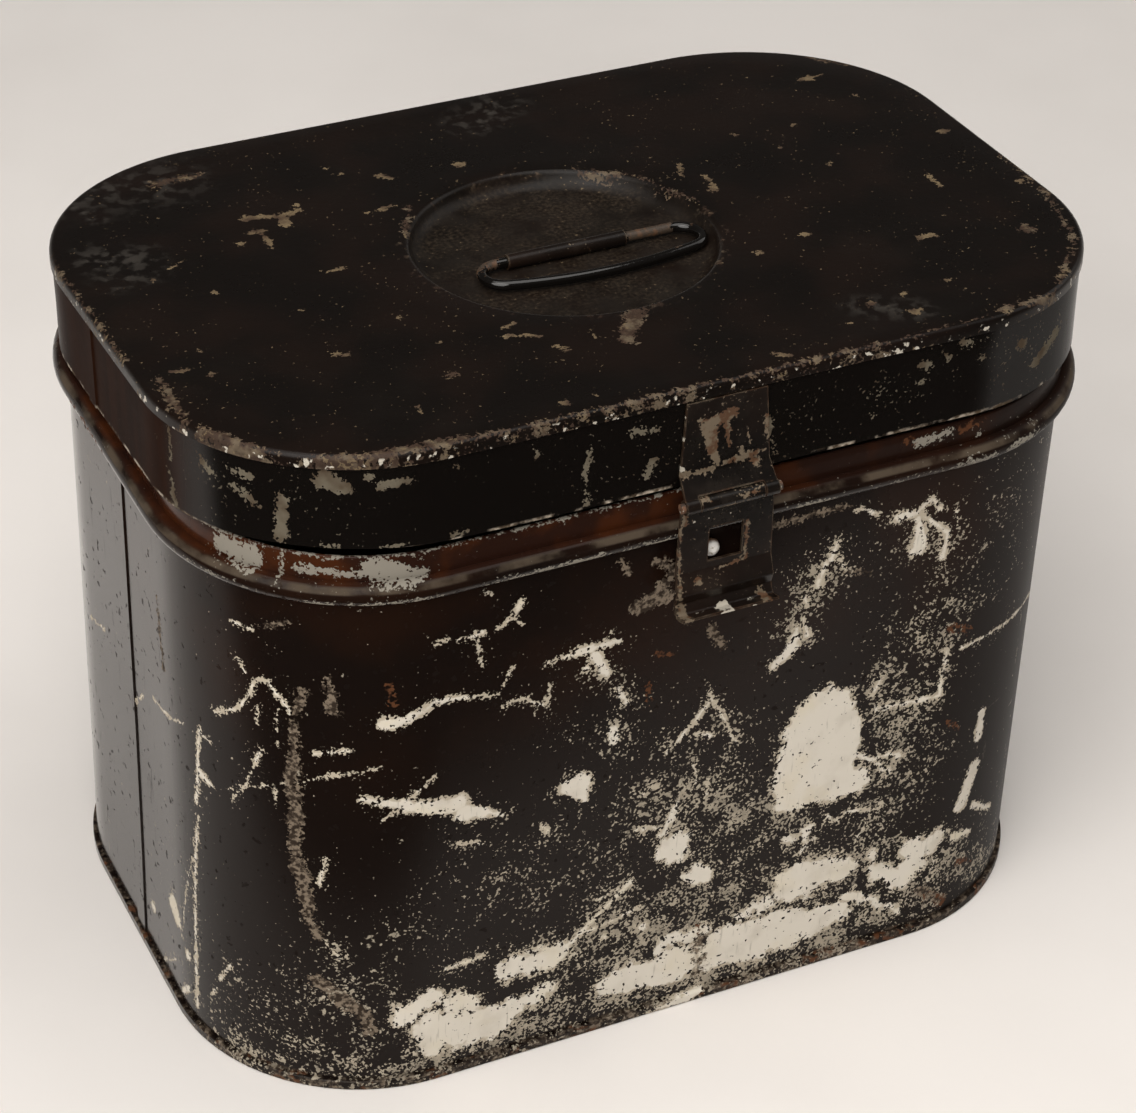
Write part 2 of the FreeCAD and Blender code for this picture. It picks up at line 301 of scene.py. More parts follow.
def unrollPlan(place):
    # in mm: along the plan from the middle of the front, up, and out from the corner centres
    x, y, z = parted(place)
    width = calc("ABSOLUTE", x)
    depth = calc("ABSOLUTE", y)
    beyondX = most(less(width, cornerX / mm), 0)
    beyondY = most(less(depth, cornerY / mm), 0)
    turned = calc("ARCTAN2", beyondX, beyondY)
    alongFront = calc("MINIMUM", width, cornerX / mm)
    alongCorner = timesPlus(turned, planSizes["wallRadius"] / mm, alongFront)
    alongEnd = most(less(cornerY / mm, depth), 0)
    quarter = (cornerX + cornerY + math.pi / 2 * planSizes["wallRadius"]) / mm  # to the middle of an end
    short = less(quarter, plus(alongCorner, alongEnd))
    reached = timesPlus(calc("SIGN", y), short, quarter)
    along = times(reached, calc("SIGN", x))
    square = timesPlus(beyondX, beyondX, times(beyondY, beyondY))
    return paired(along, z), along, z, calc("SQRT", square)


def tearEdge(field, place, rough):
    # broken edge of a chip: the depth inside a stroke, roughened by grains of three sizes
    fine = less(cloud(place, 1.0, 3), 0.5)
    coarse = less(cloud(place, 5.0, 3), 0.5)
    broad = less(cloud(place, 13.0, 2), 0.5)
    grains = timesPlus(coarse, 2.4, times(fine, 3.4))
    torn = timesPlus(times(broad, most(field, 0)), 1.6, field)
    return [fade(timesPlus(grains, rough, torn), 0.0, 0.3)]


def scatterSpecks(density, place, size):
    # specks of lost paint; density 0 leaves almost none, 1 leaves little paint
    fine = scaled(place, calc("DIVIDE", 1, size))
    drifts = timesPlus(patchy(fine, 9.0, 4, 0.3, 0.7), 0.9, 0.5)
    limit = timesPlus(times(density, drifts), -0.27, 0.75)
    return [patchy(fine, 1.0, 2.5, limit, plus(limit, 0.05))]


def ageJapan(place):
    # small unevenness of an old painted sheet: cloudy shade, gloss, and fine scratches and dimples as height
    cloudy = cloud(place, 38, 4)
    fine = cloud(place, 2.2, 3)
    across = patchy(stretched(place, (0.06, 0.06, 1.6)), 1.0, 2, 0.66, 0.72)
    down = patchy(stretched(place, (1.5, 1.5, 0.05)), 1.0, 2, 0.67, 0.73)
    return cloudy, timesPlus(fine, 0.35, times(cloudy, 0.65)), timesPlus(most(across, down), -0.25, fine)


def wearEdges(place, radius, amount):
    # worn edges of a strap: where the surface turns within the radius
    rounded = addNode("Bevel", {"Radius": radius}, samples=4)["Normal"]
    surface = addNode("NewGeometry", {}, beside=place)["Normal"]
    sharpness = less(1, measured("DOT_PRODUCT", rounded, surface))
    grains = less(cloud(place, 2.0, 3), 0.62)
    worn = plus(times(sharpness, 2.2), times(grains, 1.4))
    return [fade(plus(worn, amount), 0.0, 0.16)]


unrolledGroup = newGroup("unrolledWall", {"place": "Vector"},
                         {"flat": "Vector", "along": "Float", "up": "Float", "out": "Float"}, unrollPlan)
raggedGroup = newGroup("raggedChip", {"field": "Float", "place": "Vector", "rough": "Float"},
                       {"mask": "Float"}, tearEdge)
speckGroup = newGroup("specks", {"density": "Float", "place": "Vector", "size": "Float"},
                      {"mask": "Float"}, scatterSpecks)
grainGroup = newGroup("japanGrain", {"place": "Vector"},
                      {"shade": "Float", "gloss": "Float", "height": "Float"}, ageJapan)
edgeGroup = newGroup("wornEdge", {"place": "Vector", "radius": "Float", "amount": "Float"},
                     {"mask": "Float"}, wearEdges)
print("shared node groups made")


def strokeInside(away, wide, reach, strength, soft):
    if soft:
        return timesPlus(away, -strength / reach, strength)
    return less(wide, away)


def makeStrokeGroup(name, strokes, soft):

    def reachStrokes(flat):
        # depth in mm inside the nearest stroke, or of a soft stroke its strength, falling to nothing
        field = -9.0  # outside every stroke
        for width, *numbers in strokes:
            endWidth = numbers.pop(0) if len(numbers) % 2 else width
            path = [Vector(pair) for pair in zip(numbers[::2], numbers[1::2])]
            runs = list(zip(path, path[1:]))
            if not runs:
                away = measured("DISTANCE", flat, path[0].to_3d())
                field = most(strokeInside(away, width, width, endWidth, soft), field)
            for k, (start, end) in enumerate(runs):
                run = end - start
                offset = vectorCalc("SUBTRACT", flat, start.to_3d())
                share = withinOne(measured("DOT_PRODUCT", offset, (run / run.length_squared).to_3d()))
                away = measured("DISTANCE", offset, scaled(run.to_3d(), share))
                first = width + (endWidth - width) * k / len(runs)
                last = width + (endWidth - width) * (k + 1) / len(runs)
                wide = first if first == last or soft else timesPlus(share, last - first, first)
                field = most(strokeInside(away, wide, width, endWidth, soft), field)
        return [most(field, 0) if soft else field]

    return newGroup(name, {"flat": "Vector"}, {"field": "Float"}, reachStrokes)


def strokeDepth(flat, areas, soft=False, breakUp=()):
    # each area of strokes is a group of its own; the deepest counts, and areas can break up more than others
    field = None
    for name, strokes in areas.items():
        depth = useGroup(makeStrokeGroup(name, strokes, soft), flat=flat)["field"]
        if name in breakUp:
            depth = calc("DIVIDE", depth, breakUp[name])
        field = depth if field is None else most(field, depth)
    return field


def wobbled(place, flat, reach, size):
    shift = vectorCalc("SUBTRACT", cloudNode(place, size, 2)[1], (0.5, 0.5, 0.5))
    return vectorCalc("MULTIPLY_ADD", shift, (2 * reach, 2 * reach, 0), flat)


def raggedMask(place, field, rough):
    return useGroup(raggedGroup, field=field, place=place, rough=rough)["mask"]


def speckMask(place, density, size):
    return useGroup(speckGroup, density=density, place=place, size=size)["mask"]


# the inside: plain dull tin with a film of rust, on the faces marked as inner

insideTin = {"tin": tone(0.24, 0.215, 0.175), "rust": tone(0.1, 0.062, 0.036)}


def tinInside(place):
    patches = patchy(place, 30, 5, 0.48, 0.74)
    grains = timesPlus(patchy(place, 2.2, 4, 0.42, 0.62), 0.75, 0.15)
    return blend(times(patches, grains), insideTin["tin"], insideTin["rust"])


def innerMask(place):
    return addNode("Attribute", {}, beside=place, attribute_name="inner")["Fac"]


def markInner(piece, inner):
    marks = piece.data.attributes.new("inner", "FLOAT", "FACE")
    for k, value in enumerate(inner):
        marks.data[k].value = value


# wear on the wall: the width of a stroke, or one for each end, then its points along and up, mm

wallBreakUp = {"leftCornerChips": 1.4, "middleChips": 1.5, "footChips": 2.2, "rightChips": 2.0,
               "upperRightChips": 1.8, "endChipsAndFootGlint": 1.0, "neckChips": 1.4}
wallChips = {"leftCornerChips": [
    (1.2, 1.1, -173, 9, -172, 45, -170, 75, -168, 91),  # tall scratch at the left corner
    (1.3, -168, 97, -167, 112, -165, 127), (1.0, 0.8, -165, 126, -161, 125),
    (2.2, 1.2, -166, 110, -160, 108),
    (1.0, 0.9, -158, 138, -148, 144, -142, 157, -138, 158, -131, 148),  # roof
    (0.7, -148, 162, -145, 158), (0.8, -150, 175, -143, 175),
    (0.6, 0.5, -153, 111, -140, 118, -120, 126, -104, 130),  # long hairline
    (0.8, -152, 107, -147, 115, -141, 131), (0.5, -135, 148, -136, 135), (0.4, -142, 147, -142, 141),
    (0.4, -137, 120, -136, 112), (1.0, -124, 134, -114, 136), (0.9, -164, 21, -162, 25),
    (0.9, -160, 30, -155, 39), (0.6, -122, 61, -117, 54), (1.0, -123, 84, -121, 94),
], "middleChips": [
    (1.6, 2.4, -110, 118, -96, 114),  # streak left of the middle
    (2.6, 4.2, -96, 113, -80, 110), (4.0, 1.0, -78, 106, -65, 101), (0.9, -104, 109, -88, 123),
    (3.0, 2.2, -103, 146, -96, 146),  # upper streak
    (2.0, 0.6, -96, 147, -88, 151, -78, 150, -68, 148), (0.8, -66, 143, -60, 144, -52, 139),
    (0.6, -51, 146, -52, 138), (0.6, -66, 151, -63, 157), (0.9, 1.3, -81, 172, -73, 172),
    (0.7, -75, 170, -73, 160), (0.8, -88, 172, -84, 173), (0.9, 1.5, -68, 172, -63, 176, -61, 180),
    (0.9, -64, 176, -61, 172), (0.8, -73, 187, -71, 185),
    (0.6, 2.2, -53, 154.5, -40, 156),  # spear left of the hasp
    (2.2, 1.3, -40, 156, -28, 156), (2.8, 2.0, -36, 152, -32, 145), (1.2, 1.0, -33, 157, -31, 160),
    (1.6, -39, 148.5), (2.7, 2.2, -29, 122, -28.5, 118), (1.8, 1.4, -28, 138, -25, 132),
    (3.4, 5.2, -44, 105, -39.5, 104.5),  # heart
    (4.6, 1.8, -39, 103, -37.5, 98), (1.0, 1.6, -52, 92, -50, 89.5), (0.8, -80, 95, -72, 92),
    (1.4, 1.3, -83, 44.5, -70, 45.5),
    (1.1, -10, 107, 4, 123),  # upturned V
    (1.1, 0.9, 4, 126, 15, 103),
    (1.6, -46, 35, -20, 58.5),  # long slant
    (0.8, -31, 55, -22, 58), (1.0, 1.3, -34, 43, -15, 47), (2.0, -29, 38.5), (2.0, 1.6, -15, 38),
], "upperRightChips": [
    (1.8, 3.0, 25.5, 130, 32, 136),  # chips right of the hasp
    (3.0, 1.6, 32, 137, 33, 143), (1.6, 1.3, 37, 139, 35, 146), (1.2, 0.9, 36, 151, 34, 155),
    (2.4, 1.6, 39, 158, 41, 165), (2.2, 0.9, 43, 167, 45, 173), (1.0, 0.8, 45, 167, 48, 161),
    (1.0, 1.2, 50, 183, 58, 179),  # branching chip at the upper right
    (2.4, 2.2, 65, 176, 72, 176), (1.7, 1.2, 72, 176, 77, 180, 81, 175),
    (1.4, 2.0, 74, 174, 84, 165, 83, 156), (1.8, 3.6, 73, 174, 74, 162), (1.0, 0.9, 86, 173, 87, 168),
    (1.8, 1.6, 65, 102, 88, 100, 89, 118), (1.4, 1.0, 63, 108, 66, 115),
], "endChipsAndFootGlint": [
    (2.4, 2.2, 109, 84, 109, 74),  # right corner
    (3.0, 3.2, 109, 62, 104, 48), (1.8, 1.4, 111, 44, 123, 35), (2.0, 1.6, 102, 35, 110, 33),
    (0.9, 0.7, 95, 117, 110, 117, 135, 115, 150, 108),
    (4.8, 3.6, -189, 39, -186, 36),  # left end
    (2.2, 2.0, -178, 27), (1.8, 1.4, -183, 8, -178, 13), (2.4, 1.8, -210, 22),
    (0.8, 0.6, -261, 105, -246, 110), (0.7, 0.5, -218, 101, -210, 109),
    (0.6, 0.8, -200, 115, -184, 119, -174, 124), (0.6, 0.5, -201, 6, -188, 17),
    # the bright chip on the foot is bare tin drawn pale in the shape of its glint: a real chip and partly a
    # painted highlight
    (0.6, 2.2, -12, 1, 2, 2.4),  # bright chip on the foot
    (2.2, 1.2, 2, 2.4, 8, 4), (0.5, 0.4, -182, 32, -178, 52, -172, 72),
], "neckChips": [
    (3.8, 4.0, -152, 201.5, -142, 201.5), (2.0, 1.2, -127, 201, -120, 201, -110, 200),
    (4.2, 3.6, -106, 202, -99, 200), (2.4, 1.4, -98, 199, -91, 199), (0.6, -132.5, 205, -133, 197),
    (2.0, 1.6, 70, 202, 80, 203), (1.0, 91, 200),
    (0.9, -124, 192, -118, 192),  # chips along the bead
    (1.0, -113, 192.4, -88, 192.4), (0.9, -72, 191.6, -60, 191.6), (1.4, 1.6, -58, 192, -39, 192.4),
    (0.9, -30, 192, -25, 191), (1.1, 1.0, -22, 192, -11, 192), (0.9, 0.8, 27, 192, 40, 192),
    (0.9, 0.8, 86, 195, 88, 193), (1.4, 1.0, 103, 194, 110, 194),
    (0.35, -190, 206, -9, 206),  # bright rim
]}
wallPatches = {"footChips": [
    (4.6, 5.0, -63, 35.5, -45, 37.5),  # band along the foot, left to right
    (1.6, 0.8, -44, 34, -37, 34), (6.5, 5.0, -97, 30, -88, 33), (9.5, 8.0, -86, 18, -66, 17),
    (5.0, -80, 29, -75, 26), (6.0, 4.0, -66, 18, -47, 22), (6.0, 8.5, -25, 18, 0, 17),
    (3.0, 4.0, -9, 26, 5, 29), (9.5, 14, 18, 40, 19), (8.5, 6.0, 40, 20, 58, 17),
    (3.0, 4.0, 20, 30, 30, 33), (8.0, 8.5, 40, 38, 55, 38), (6.5, 5.0, 86, 36, 94, 38),
    (6.0, 83, 26, 88, 30), (4.0, 5.0, 70, 32, 80, 27), (2.6, 2.0, 68, 42, 70, 34),
    (4.0, 1.8, 62, 24, 74, 18, 82, 11), (1.2, 1.0, 96, 30, 95, 20),
], "rightChips": [
    (6.9, -3.5, 68.5),  # disc
    (1.3, -17, 79, -10, 79), (2.2, 1.4, -8, 77, -4, 86), (5.0, 4.6, 3, 55.5, 8, 52),
    (1.0, -12, 97, -15, 92), (1.0, 1.2, 1, 97, 2, 90), (1.1, 7, 91, 7, 86),
    (13.6, 16.0, 46, 103, 45, 84),  # the large bare patch
    (9.5, 38, 84, 40, 77), (9.0, 7.0, 52, 77, 58, 74), (1.6, 2.2, 60, 84, 66, 82, 74, 81),
    (1.3, 0.9, 66, 81, 71, 72), (1.3, 58, 60, 70, 61), (3.2, 37, 56), (2.6, 1.6, 43, 60, 47, 56, 43, 51),
    (1.6, 1.4, 51, 61, 56, 58), (1.0, 0.8, 62, 48, 65, 54), (2.0, 1.0, 2, 113, 5, 110),
]}
wallScuffs = {"wallScuffs": [
    (1.6, -127, 157, -129, 148),  # brown scuff down the left of the front
    (1.5, 2.4, -130, 145, -131, 118), (2.6, 2.2, -130, 116, -131, 97, -127, 75),
    (2.0, 1.6, -127, 72, -124, 62), (1.2, 1.9, -120, 162, -118, 150), (0.6, -140, 177, -131, 181),
    (2.8, 2.0, -124, 44, -110, 32, -108, 24),
    (3.4, 3.0, -22, 167, -14, 169),  # beside the hasp
    (2.6, 1.6, -15, 170, -11, 178, -17, 182), (1.0, 0.8, -29, 186, -26, 180), (1.6, 1.4, 3, 152, 7, 144),
    (2.2, 1.4, -8, 163, -6, 157), (0.8, 48, 160, 58, 157), (1.3, 0.9, 20, 185, 48, 185),
    (2.4, 2.8, 7, 26, 7, 11),  # over the bare band
    (2.5, 2.0, 90, 17, 100, 9), (1.2, -191, 160, -188, 136),
]}
wallRust = {"wallRust": [
    (1.0, -15, 147, -10, 146), (0.8, 0.7, -18, 136, -17, 129), (1.2, 1.0, -102, 160, -100, 152),
    (1.0, 0.8, 5, 31, 8, 27), (1.8, 1.4, 91, 126, 97, 123), (1.0, 93, 88, 98, 83), (2.0, 94, 13, 100, 8),
    (1.2, 0.9, 106, 22, 114, 18), (2.4, -252, 192, -222, 192), (1.0, 1.4, 68, 203, 66, 204),
    (1.6, 1.2, 84, 203, 92, 205),
]}
wallSpecks = {"wallSpecks": [  # reach in mm, strength, points
    (34, 0.75, -150, 6, -112, 8), (26, 0.62, -142, 28, -112, 40), (32, 0.40, -112, 58, -72, 72),
    (44, 0.50, -66, 74, -30, 66), (40, 0.62, -14, 84, 8, 92), (34, 0.86, 14, 80, 24, 66),
    (30, 0.85, -32, 36, 16, 42), (22, 0.70, -50, 10, -20, 8), (34, 0.42, -34, 132, -8, 108),
    (26, 0.84, 74, 92, 80, 72), (30, 0.74, 72, 112, 86, 136), (36, 0.42, 92, 130, 108, 176),
    (22, 0.74, 38, 160, 34, 150), (26, 0.42, 70, 165, 86, 160), (22, 0.60, 70, 55, 82, 62),
    (40, 0.24, -190, 70, -186, 20), (20, 0.8, -126, 6, -60, 8, 10, 10), (26, 0.7, 10, 30, 70, 40),
    (24, 0.75, 92, 26, 116, 14), (18, 0.9, 28, 6, 64, 6), (18, 0.75, 62, 10, 96, 12),
    (22, 0.45, -152, 8, -112, 12),
]}


def wallJapanMaterial():
    finish = {"black": tone(0.0072, 0.0044, 0.0034), "brown": tone(0.0135, 0.0058, 0.0033),
              "neck": tone(0.021, 0.0082, 0.0052), "neckOrange": tone(0.05, 0.0145, 0.005),
              "scuff": tone(0.03, 0.021, 0.015), "scuffPale": tone(0.185, 0.146, 0.108),
              "tin": tone(0.66, 0.615, 0.535), "tinStain": tone(0.49, 0.445, 0.375),
              "yellowTin": tone(0.63, 0.56, 0.42), "greyTin": tone(0.235, 0.21, 0.172),
              "thinTin": tone(0.44, 0.385, 0.3), "neckTin": tone(0.25, 0.23, 0.193),
              "rust": tone(0.095, 0.038, 0.017), "dust": tone(0.085, 0.065, 0.046),
              "gleam": tone(1, 0.9, 0.82), "worn": 0.58, "ior": 1.14, "coatIor": 1.16, "coatRough": 0.15,
              "bump": 0.012}
    heights = {"neck": (196.8, 198.2), "neckTin": (184, 190), "redder": (90, 185), "foot": (3.0, 5.5),
               "beadDust": 196.6, "beadFlecks": 192.8}  # mm
    spans = {"shownMiddle": 60, "hidden": (165, 215), "orange": (160, -60), "leftStreaks": (-120, -190),
             "dullRight": (30, 120), "dullBack": (250, 340), "within": (61, 60)}  # along, the last one out
    material, shader, place = newMaterial("wallJapan")
    unrolled = useGroup(unrolledGroup, place=place)
    flat = wobbled(place, unrolled["flat"], 1.0, 6.0)
    up, along = unrolled["up"], unrolled["along"]
    torn = wobbled(place, wobbled(place, unrolled["flat"], 6.0, 15.0), 3.0, 4.5)
    patches = strokeDepth(torn, wallPatches, breakUp=wallBreakUp)
    chips = most(strokeDepth(flat, wallChips, breakUp=wallBreakUp), patches)
    scuffs = raggedMask(place, strokeDepth(flat, wallScuffs), 2.0)
    rustMarks = raggedMask(place, strokeDepth(flat, wallRust), 1.3)
    grain = useGroup(grainGroup, place=place)

    # specks, thicker round the chips and along the bead; scattered wear where the photograph doesn't show
    density = strokeDepth(flat, wallSpecks, soft=True)
    density = plus(timesPlus(fade(chips, -5, 0.4), 0.28, 0.08), density)
    hidden = fade(calc("ABSOLUTE", plus(along, spans["shownMiddle"])), *spans["hidden"])
    hiddenWear = patchy(place, 46, 4, 0.5, 0.75)
    density = timesPlus(times(hidden, hiddenWear), 0.9, density)
    beadFlecks = fade(calc("ABSOLUTE", less(up, heights["beadFlecks"])), 2.4, 1.0)
    beadFlecks = times(beadFlecks, fade(hiddenWear, 0.0, 0.5))
    density = timesPlus(beadFlecks, 0.6, density)
    specks = most(speckMask(place, density, 1.1), speckMask(place, times(density, 0.72), 2.7))
    across = cloud(stretched(place, (0.05, 0.05, 0.4)), 1.0, 3)
    down = cloud(stretched(place, (0.35, 0.35, 0.04)), 1.0, 3)
    scratch = times(times(fade(most(across, down), 0.71, 0.74), hidden), 0.8)
    chipMask = most(raggedMask(place, chips, 1.0), scratch)

    # japan with a reddish neck and a dusty bead
    redness = times(fade(grain["shade"], 0.35, 0.7), fade(up, *heights["redder"]))
    lacquer = blend(redness, finish["black"], finish["brown"])
    neckTone = blend(patchy(place, 16, 3, 0.42, 0.66), finish["neck"], finish["neckOrange"])
    reddish = times(fade(up, *heights["neck"]), fade(along, *spans["orange"]))
    lacquer = blend(reddish, lacquer, neckTone)
    beadTop = fade(calc("ABSOLUTE", less(up, heights["beadDust"])), 1.2, 0.5)
    dusty = times(beadTop, patchy(place, 11, 7, 0.36, 0.62))
    colour = blend(times(dusty, 0.8), lacquer, finish["dust"])
    scuffTone = blend(patchy(place, 1.6, 4, 0.42, 0.6), finish["scuff"], finish["scuffPale"])
    colour = blend(scuffs, colour, scuffTone)

    # bare tin, stained, yellowed and rubbed, with dots of paint left on it
    tin = blend(times(patchy(place, 11, 4, 0.46, 0.74), 0.6), finish["tin"], finish["tinStain"])
    tin = blend(times(patchy(place, 21, 4, 0.5, 0.72), 0.6), tin, finish["yellowTin"])
    rubbed = patchy(stretched(place, (0.8, 0.8, 0.1)), 1.0, 4, 0.6, 0.74)
    tin = blend(times(rubbed, 0.45), tin, finish["greyTin"])
    thin = timesPlus(cloud(place, 3.0, 3), 3.0, less(chips, 1.5))
    tin = blend(fade(thin, 0.9, 0.3), tin, finish["thinTin"])
    tin = blend(fade(up, *heights["neckTin"]), tin, finish["neckTin"])
    speckShade = timesPlus(cloud(place, 3.5, 2), 0.9, 0.25)
    limit = timesPlus(fade(chips, 0.3, 2.4), 0.11, 0.56)
    paintDots = patchy(place, 1.5, 3, limit, plus(limit, 0.04))
    bare = times(most(chipMask, times(specks, speckShade)), less(1, paintDots))
    colour = blend(bare, colour, tin)
    colour = blend(times(scuffs, patchy(place, 2.5, 3, 0.42, 0.6)), colour, scuffTone)

    # worn and rusty foot
    foot = times(less(1, fade(up, *heights["foot"])), less(1, chipMask))
    colour = blend(times(times(foot, patchy(place, 3.4, 5, 0.4, 0.66)), 0.8), colour, scuffTone)
    rust = most(rustMarks, times(foot, patchy(place, 8, 6, 0.57, 0.67)))
    rust = times(rust, patchy(place, 2.0, 4, 0.43, 0.58))
    colour = blend(rust, colour, finish["rust"])
    inside = most(innerMask(place), fade(unrolled["out"], *spans["within"]))
    colour = blend(inside, colour, tinInside(place))

    # dull where worn, streaked on the left, and towards the right end and the back
    worn = most(most(most(bare, scuffs), most(rust, dusty)), inside)
    streaks = patchy(stretched(place, (0.3, 0.3, 0.05)), 1.0, 4, 0.62, 0.78)
    streaks = times(streaks, times(fade(along, *spans["leftStreaks"]), 0.5))
    spots = patchy(place, 3.2, 3, 0.64, 0.7)
    rightEnd = most(fade(along, *spans["dullRight"]), fade(calc("ABSOLUTE", along), *spans["dullBack"]))
    dull = most(worn, times(most(most(streaks, spots), rightEnd), 0.8))
    gloss = timesPlus(grain["gloss"], 0.22, 0.06)
    setSurface(shader, finish, grain, colour, dull, gloss)
    setCoat(shader, finish, dull)
    shader.inputs["Specular Tint"].default_value = finish["gleam"]
    return material


# the wall: one sheet with a rolled bead, a neck and a hemmed rim

wall = {"foot": 0.7, "out": 63.0, "sheet": 0.7, "beadZ": 194.3, "beadHalf": 3.6, "beadOut": 4.5,
        "beadGap": 0.8, "beadRows": 14, "beadInnerRows": 12, "hem": 4.5, "hemRows": 6, "seamHalf": 3.5,
        "seamProud": 0.5, "seamFoot": 4.1, "seamTop": 190.1, "step": 6.0, "neckStep": 2.6,
        "wave": 0.35, "waveLength": 95.0, "waveFrom": 45, "waveTo": 150,
        "steps": {"front": 22, "corner": 22, "end": 12, "back": 30}}
wallDents = [  # along, up, depth, half width, half height in mm
    (-60, 70, 0.12, 34, 30), (40, 130, 0.14, 38, 30), (-205, 90, 0.3, 24, 44), (-120, 120, 0.14, 24, 40),
    (110, 60, 0.15, 28, 34), (330, 110, 0.4, 44, 44), (-350, 80, 0.4, 40, 36), (220, 120, 0.3, 26, 44)]


def makeWall():
    sheet, out, top = wall["sheet"], wall["out"], rimZ / mm
    gap, hemFoot = wall["beadGap"], top - wall["hem"]
    beadLow, beadHigh = wall["beadZ"] - wall["beadHalf"], wall["beadZ"] + wall["beadHalf"]
    centre = (wall["beadOut"] ** 2 - wall["beadHalf"] ** 2) / (2 * wall["beadOut"])
    radius = wall["beadOut"] - centre
    spread = math.degrees(math.atan2(wall["beadHalf"], -centre))
    inner = radius - sheet
    rows = [wall["foot"], wall["seamFoot"] - seamEdge]
    rows += levels(wall["seamFoot"], wall["seamTop"], wall["step"])
    section = [(out, up) for up in rows]
    section += arc(out + centre, wall["beadZ"], radius, -spread, spread, wall["beadRows"])
    section += [(out, up) for up in levels(beadHigh + gap, top - sheet, wall["neckStep"])]
    section += arc(out - sheet, top - sheet, sheet, 0, 180, wall["hemRows"])[1:]
    outerRows = len(section) - 1
    section += [(out - 2 * sheet, hemFoot), (out - sheet, hemFoot)]
    innerHalf = math.sqrt(inner ** 2 - (centre + sheet) ** 2)
    section += [(out - sheet, wall["beadZ"] + innerHalf + gap)]
    innerAngle = math.degrees(math.atan2(innerHalf, -(centre + sheet)))
    section += arc(out + centre, wall["beadZ"], inner, innerAngle, -innerAngle, wall["beadInnerRows"])
    section += [(out - sheet, up) for up in reversed(levels(wall["foot"], beadLow - gap, wall["step"]))]
    section = [(a * mm, b * mm) for a, b in section]

    def bend(point, along, outFrom, up):
        stiff = ease(up, 0, wall["waveFrom"] * mm) * (1 - ease(up, wall["waveTo"] * mm, beadLow * mm))
        wave = noise.noise(Vector((point.x, point.y, up)) / (wall["waveLength"] * mm))
        inward = wall["wave"] * (0.5 + 0.5 * wave)
        for place, height, depth, halfWidth, halfHeight in wallDents:
            x, y = (along / mm - place) / halfWidth, (up / mm - height) / halfHeight
            inward += depth * math.exp(-x * x - y * y)
        bent = outFrom - stiff * inward * mm
        onSeam = wall["seamFoot"] * mm <= up + tiny and up <= wall["seamTop"] * mm + tiny
        if onSeam and atSeam(point, 0, wall["seamHalf"]) and outFrom > (out - 0.1) * mm:
            bent += wall["seamProud"] * mm
        return bent, up

    stations = walkPlan(wall["steps"], seamLines(0, wall["seamHalf"]))
    verts, faces = sweepRing(stations, section, bend)
    piece = addPiece("tinWall", verts, faces, "box", wallJapan, ["body_shell"])
    markInner(piece, [1 if k % len(section) >= outerRows else 0 for k in range(len(faces))])


wallJapan = wallJapanMaterial()
makeWall()
print("wall made")


# wear on the lid: points across and back on the closed lid, mm

lidChips = {"lidLeftChips": [
    (0.8, -141, -32, -137, -33), (1.2, -131, -38), (0.8, -130, -24), (1.0, -93, -13),
    (1.4, 0.9, -94, -42, -91, -43), (1.8, -68, -67), (0.7, -64, -48), (0.8, -84, -80, -85, -83),
    (0.8, -69, -30), (0.6, -120, 28, -116, 30), (1.0, -127, 23), (1.0, -113, 8), (0.6, -79, 7, -72, 6),
    (1.0, -45, -53, -36, -56), (1.0, -44, -48, -40, -47),
], "lidMiddleChips": [
    (1.5, -46, -95), (1.0, -36, -95), (1.0, -35, -64, -32, -67), (0.8, -22, -60, -21, -64), (1.6, 66, -32),
    (1.5, 47, -37), (1.4, 1.0, 97, -48, 103, -49), (1.2, 91, -76), (0.7, 93, -83), (2.2, 72, -89),
    (1.0, 75, -78), (1.5, 62, -79), (1.6, 146, -28), (0.8, 122, -12, 121, -20), (0.9, 51, -87),
    (0.7, 21, -94, 25, -97),
], "lidBackChips": [
    (2.2, 1.6, -87, 49, -80, 47),  # cluster left of the dish
    (1.1, 0.7, -86, 39, -87, 27), (2.2, 1.8, -78, 40, -77, 46, -71, 48), (1.4, -89, 39), (1.3, -95, 34),
    (1.0, -70, 51), (1.2, 0.7, -43, 38, -52, 37), (1.6, 1.0, -38, 60, -36, 56), (1.0, -49, 66),
    (1.0, -52, 72), (1.8, -12, 57), (0.9, 0.7, 54, 6, 57, 17), (0.8, 50, 20, 52, 27), (1.2, 97, 8),
    (0.8, 88, 25), (1.0, 79, 40), (1.0, 100, 38), (1.6, 1.0, 120, 68, 127, 69), (1.2, 130, 50),
    (1.8, 143, 14),
]}
lidEdges = {"lidEdges": [
    (2.1, -146, -35, -147, -60), (2.5, 2.7, -145, -66, -130, -90),
    (2.8, 2.5, -128, -92, -108, -99, -80, -101), (1.3, 1.2, -80, -102, 60, -102, 90, -101),
    (1.9, 1.7, 96, -99, 115, -97), (1.4, 1.2, 115, -97, 140, -70, 149, -40, 151, -8),
    (1.3, 1.1, -151, -20, -151, 60), (1.4, 1.2, 130, 83, 142, 70),
    (1.5, 1.6, -47, 18, -38, 36),  # round the dish
    (1.5, 1.3, 20, 38, 36, 26, 46, 2), (3.0, 2.5, -106, 83, -91, 84), (3.5, 131, -57),
    (3.2, 3.8, -14, -69, -9, -62, -3, -55),  # large tan chip in front of the dish
]}
lidRubs = {"lidRubs": [  # reach in mm, strength, points
    (13, 0.9, -138, 42, -128, 38), (12, 0.8, -136, 28, -130, 29), (13, 0.9, 5, 84, 18, 92),
    (5, 0.9, -134, 78, -130, 68), (22, 0.7, -130, 85, -104, 84), (9, 0.8, 60, -80, 72, -88),
]}
